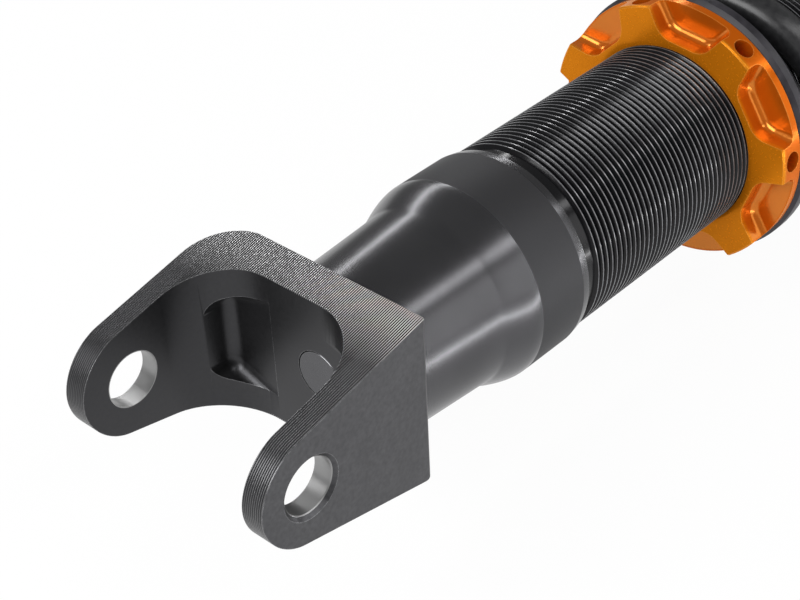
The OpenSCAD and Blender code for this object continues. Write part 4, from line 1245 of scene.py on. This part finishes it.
# ---- Top studs ------------------------------------------------------------
# Three M8 press-in studs of zinc-plated steel, with a flat head under the
# plate, a shank pressed into it and a thread above, drawn here as rings.

STUD_THREAD_FROM = 425.2
STUD_PITCH = 1.25
STUD_THREADS = 18
STUD_CREST_R = 3.98
STUD_ROOT_R = 3.35

stud_line = [
    (413.5, 5.4), (413.9, 6.0), (415.8, 6.0), (416.0, 5.8), (416.0, 4.4), (424.0, 4.4),
    (424.1, STUD_CREST_R),
]
for turn in range(STUD_THREADS):
    groove_x = STUD_THREAD_FROM + STUD_PITCH * turn
    stud_line += [
        (groove_x, STUD_CREST_R), (groove_x + 0.42, STUD_ROOT_R), (groove_x + 0.62, STUD_ROOT_R),
        (groove_x + 1.04, STUD_CREST_R),
    ]
stud_line += [(448.3, STUD_CREST_R), (449.0, 3.3)]
studs = turned("stud_set", stud_line, 32)
studs.location.z = STUD_CIRCLE_R * MM
settle(studs)
copy_round(studs, STUD_COUNT)
shade(studs, 30.0)
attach(studs, "top_mount")
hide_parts("top_studs")
studs.data.materials.append(ground_steel)

# ---- Adjuster knob --------------------------------------------------------
# The damping adjuster: turned from aluminium, fluted round its edge for grip,
# orange anodised, with a stem that turns in the rod's bore.

KNOB_R = 9.0
FLUTE_R = 0.75
FLUTE_COUNT = 12

knob = turned(
    "knob_body",
    [
        (435.5, 2.7), (435.7, 2.95), (446.5, 2.95), (446.5, 8.5), (447.0, KNOB_R), (456.9, KNOB_R),
        (457.5, 8.4), (457.5, 6.2), (457.1, 5.8),
    ],
    96,
)
flute = rod_between("flute_cut", "X", 446.0, 458.0, FLUTE_R, 20, (0, 0, KNOB_R))
copy_round(flute, FLUTE_COUNT)
cut_away(knob, flute)
break_edges(knob, 0.10, 2, 35.0)
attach(knob, "knob")
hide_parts("adjuster_knob")
knob.data.materials.append(collar_finish)

# ---- Finishes of the remaining turned and moulded parts -------------------
# Each keeps its solid and takes the finish that such a part is given.

hard_chrome = turned_finish(
    "hard_chrome", (0.60, 0.60, 0.62), (0.70, 0.70, 0.72), 1.0, 0.07, 0.13, 1600.0, 0.02
)
machined_alloy = turned_finish("machined_alloy", (0.45, 0.46, 0.48), (0.60, 0.61, 0.63), 1.0, 0.26, 0.40)
seal_rubber = turned_finish("seal_rubber", (0.014, 0.014, 0.014), (0.030, 0.030, 0.030), 0.0, 0.55, 0.75)
bearing_bronze = turned_finish("bearing_bronze", (0.40, 0.24, 0.09), (0.56, 0.36, 0.15), 1.0, 0.26, 0.42)
urethane = turned_finish("urethane", (0.52, 0.44, 0.24), (0.62, 0.54, 0.32), 0.0, 0.34, 0.50)

kept_nodes = {
    ground_steel: (
        "gas_fill_screw", "piston_nut", "rebound_shims", "compression_shims", "piston_washer",
        "guide_snap_ring", "bearing_race", "bearing_circlip",
    ),
    hard_chrome: ("piston_rod", "bearing_ball"),
    machined_alloy: ("floating_piston", "main_piston", "rod_guide"),
    seal_rubber: ("body_o_ring", "floating_piston_seal", "rod_seal", "rod_wiper", "guide_o_ring"),
    bearing_bronze: ("piston_band", "guide_bush", "metering_needle"),
    urethane: ("top_out_stop",),
}
for finish, names in kept_nodes.items():
    for name in names:
        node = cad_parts[name]
        node.data.materials.clear()
        node.data.materials.append(finish)

clear_selection()
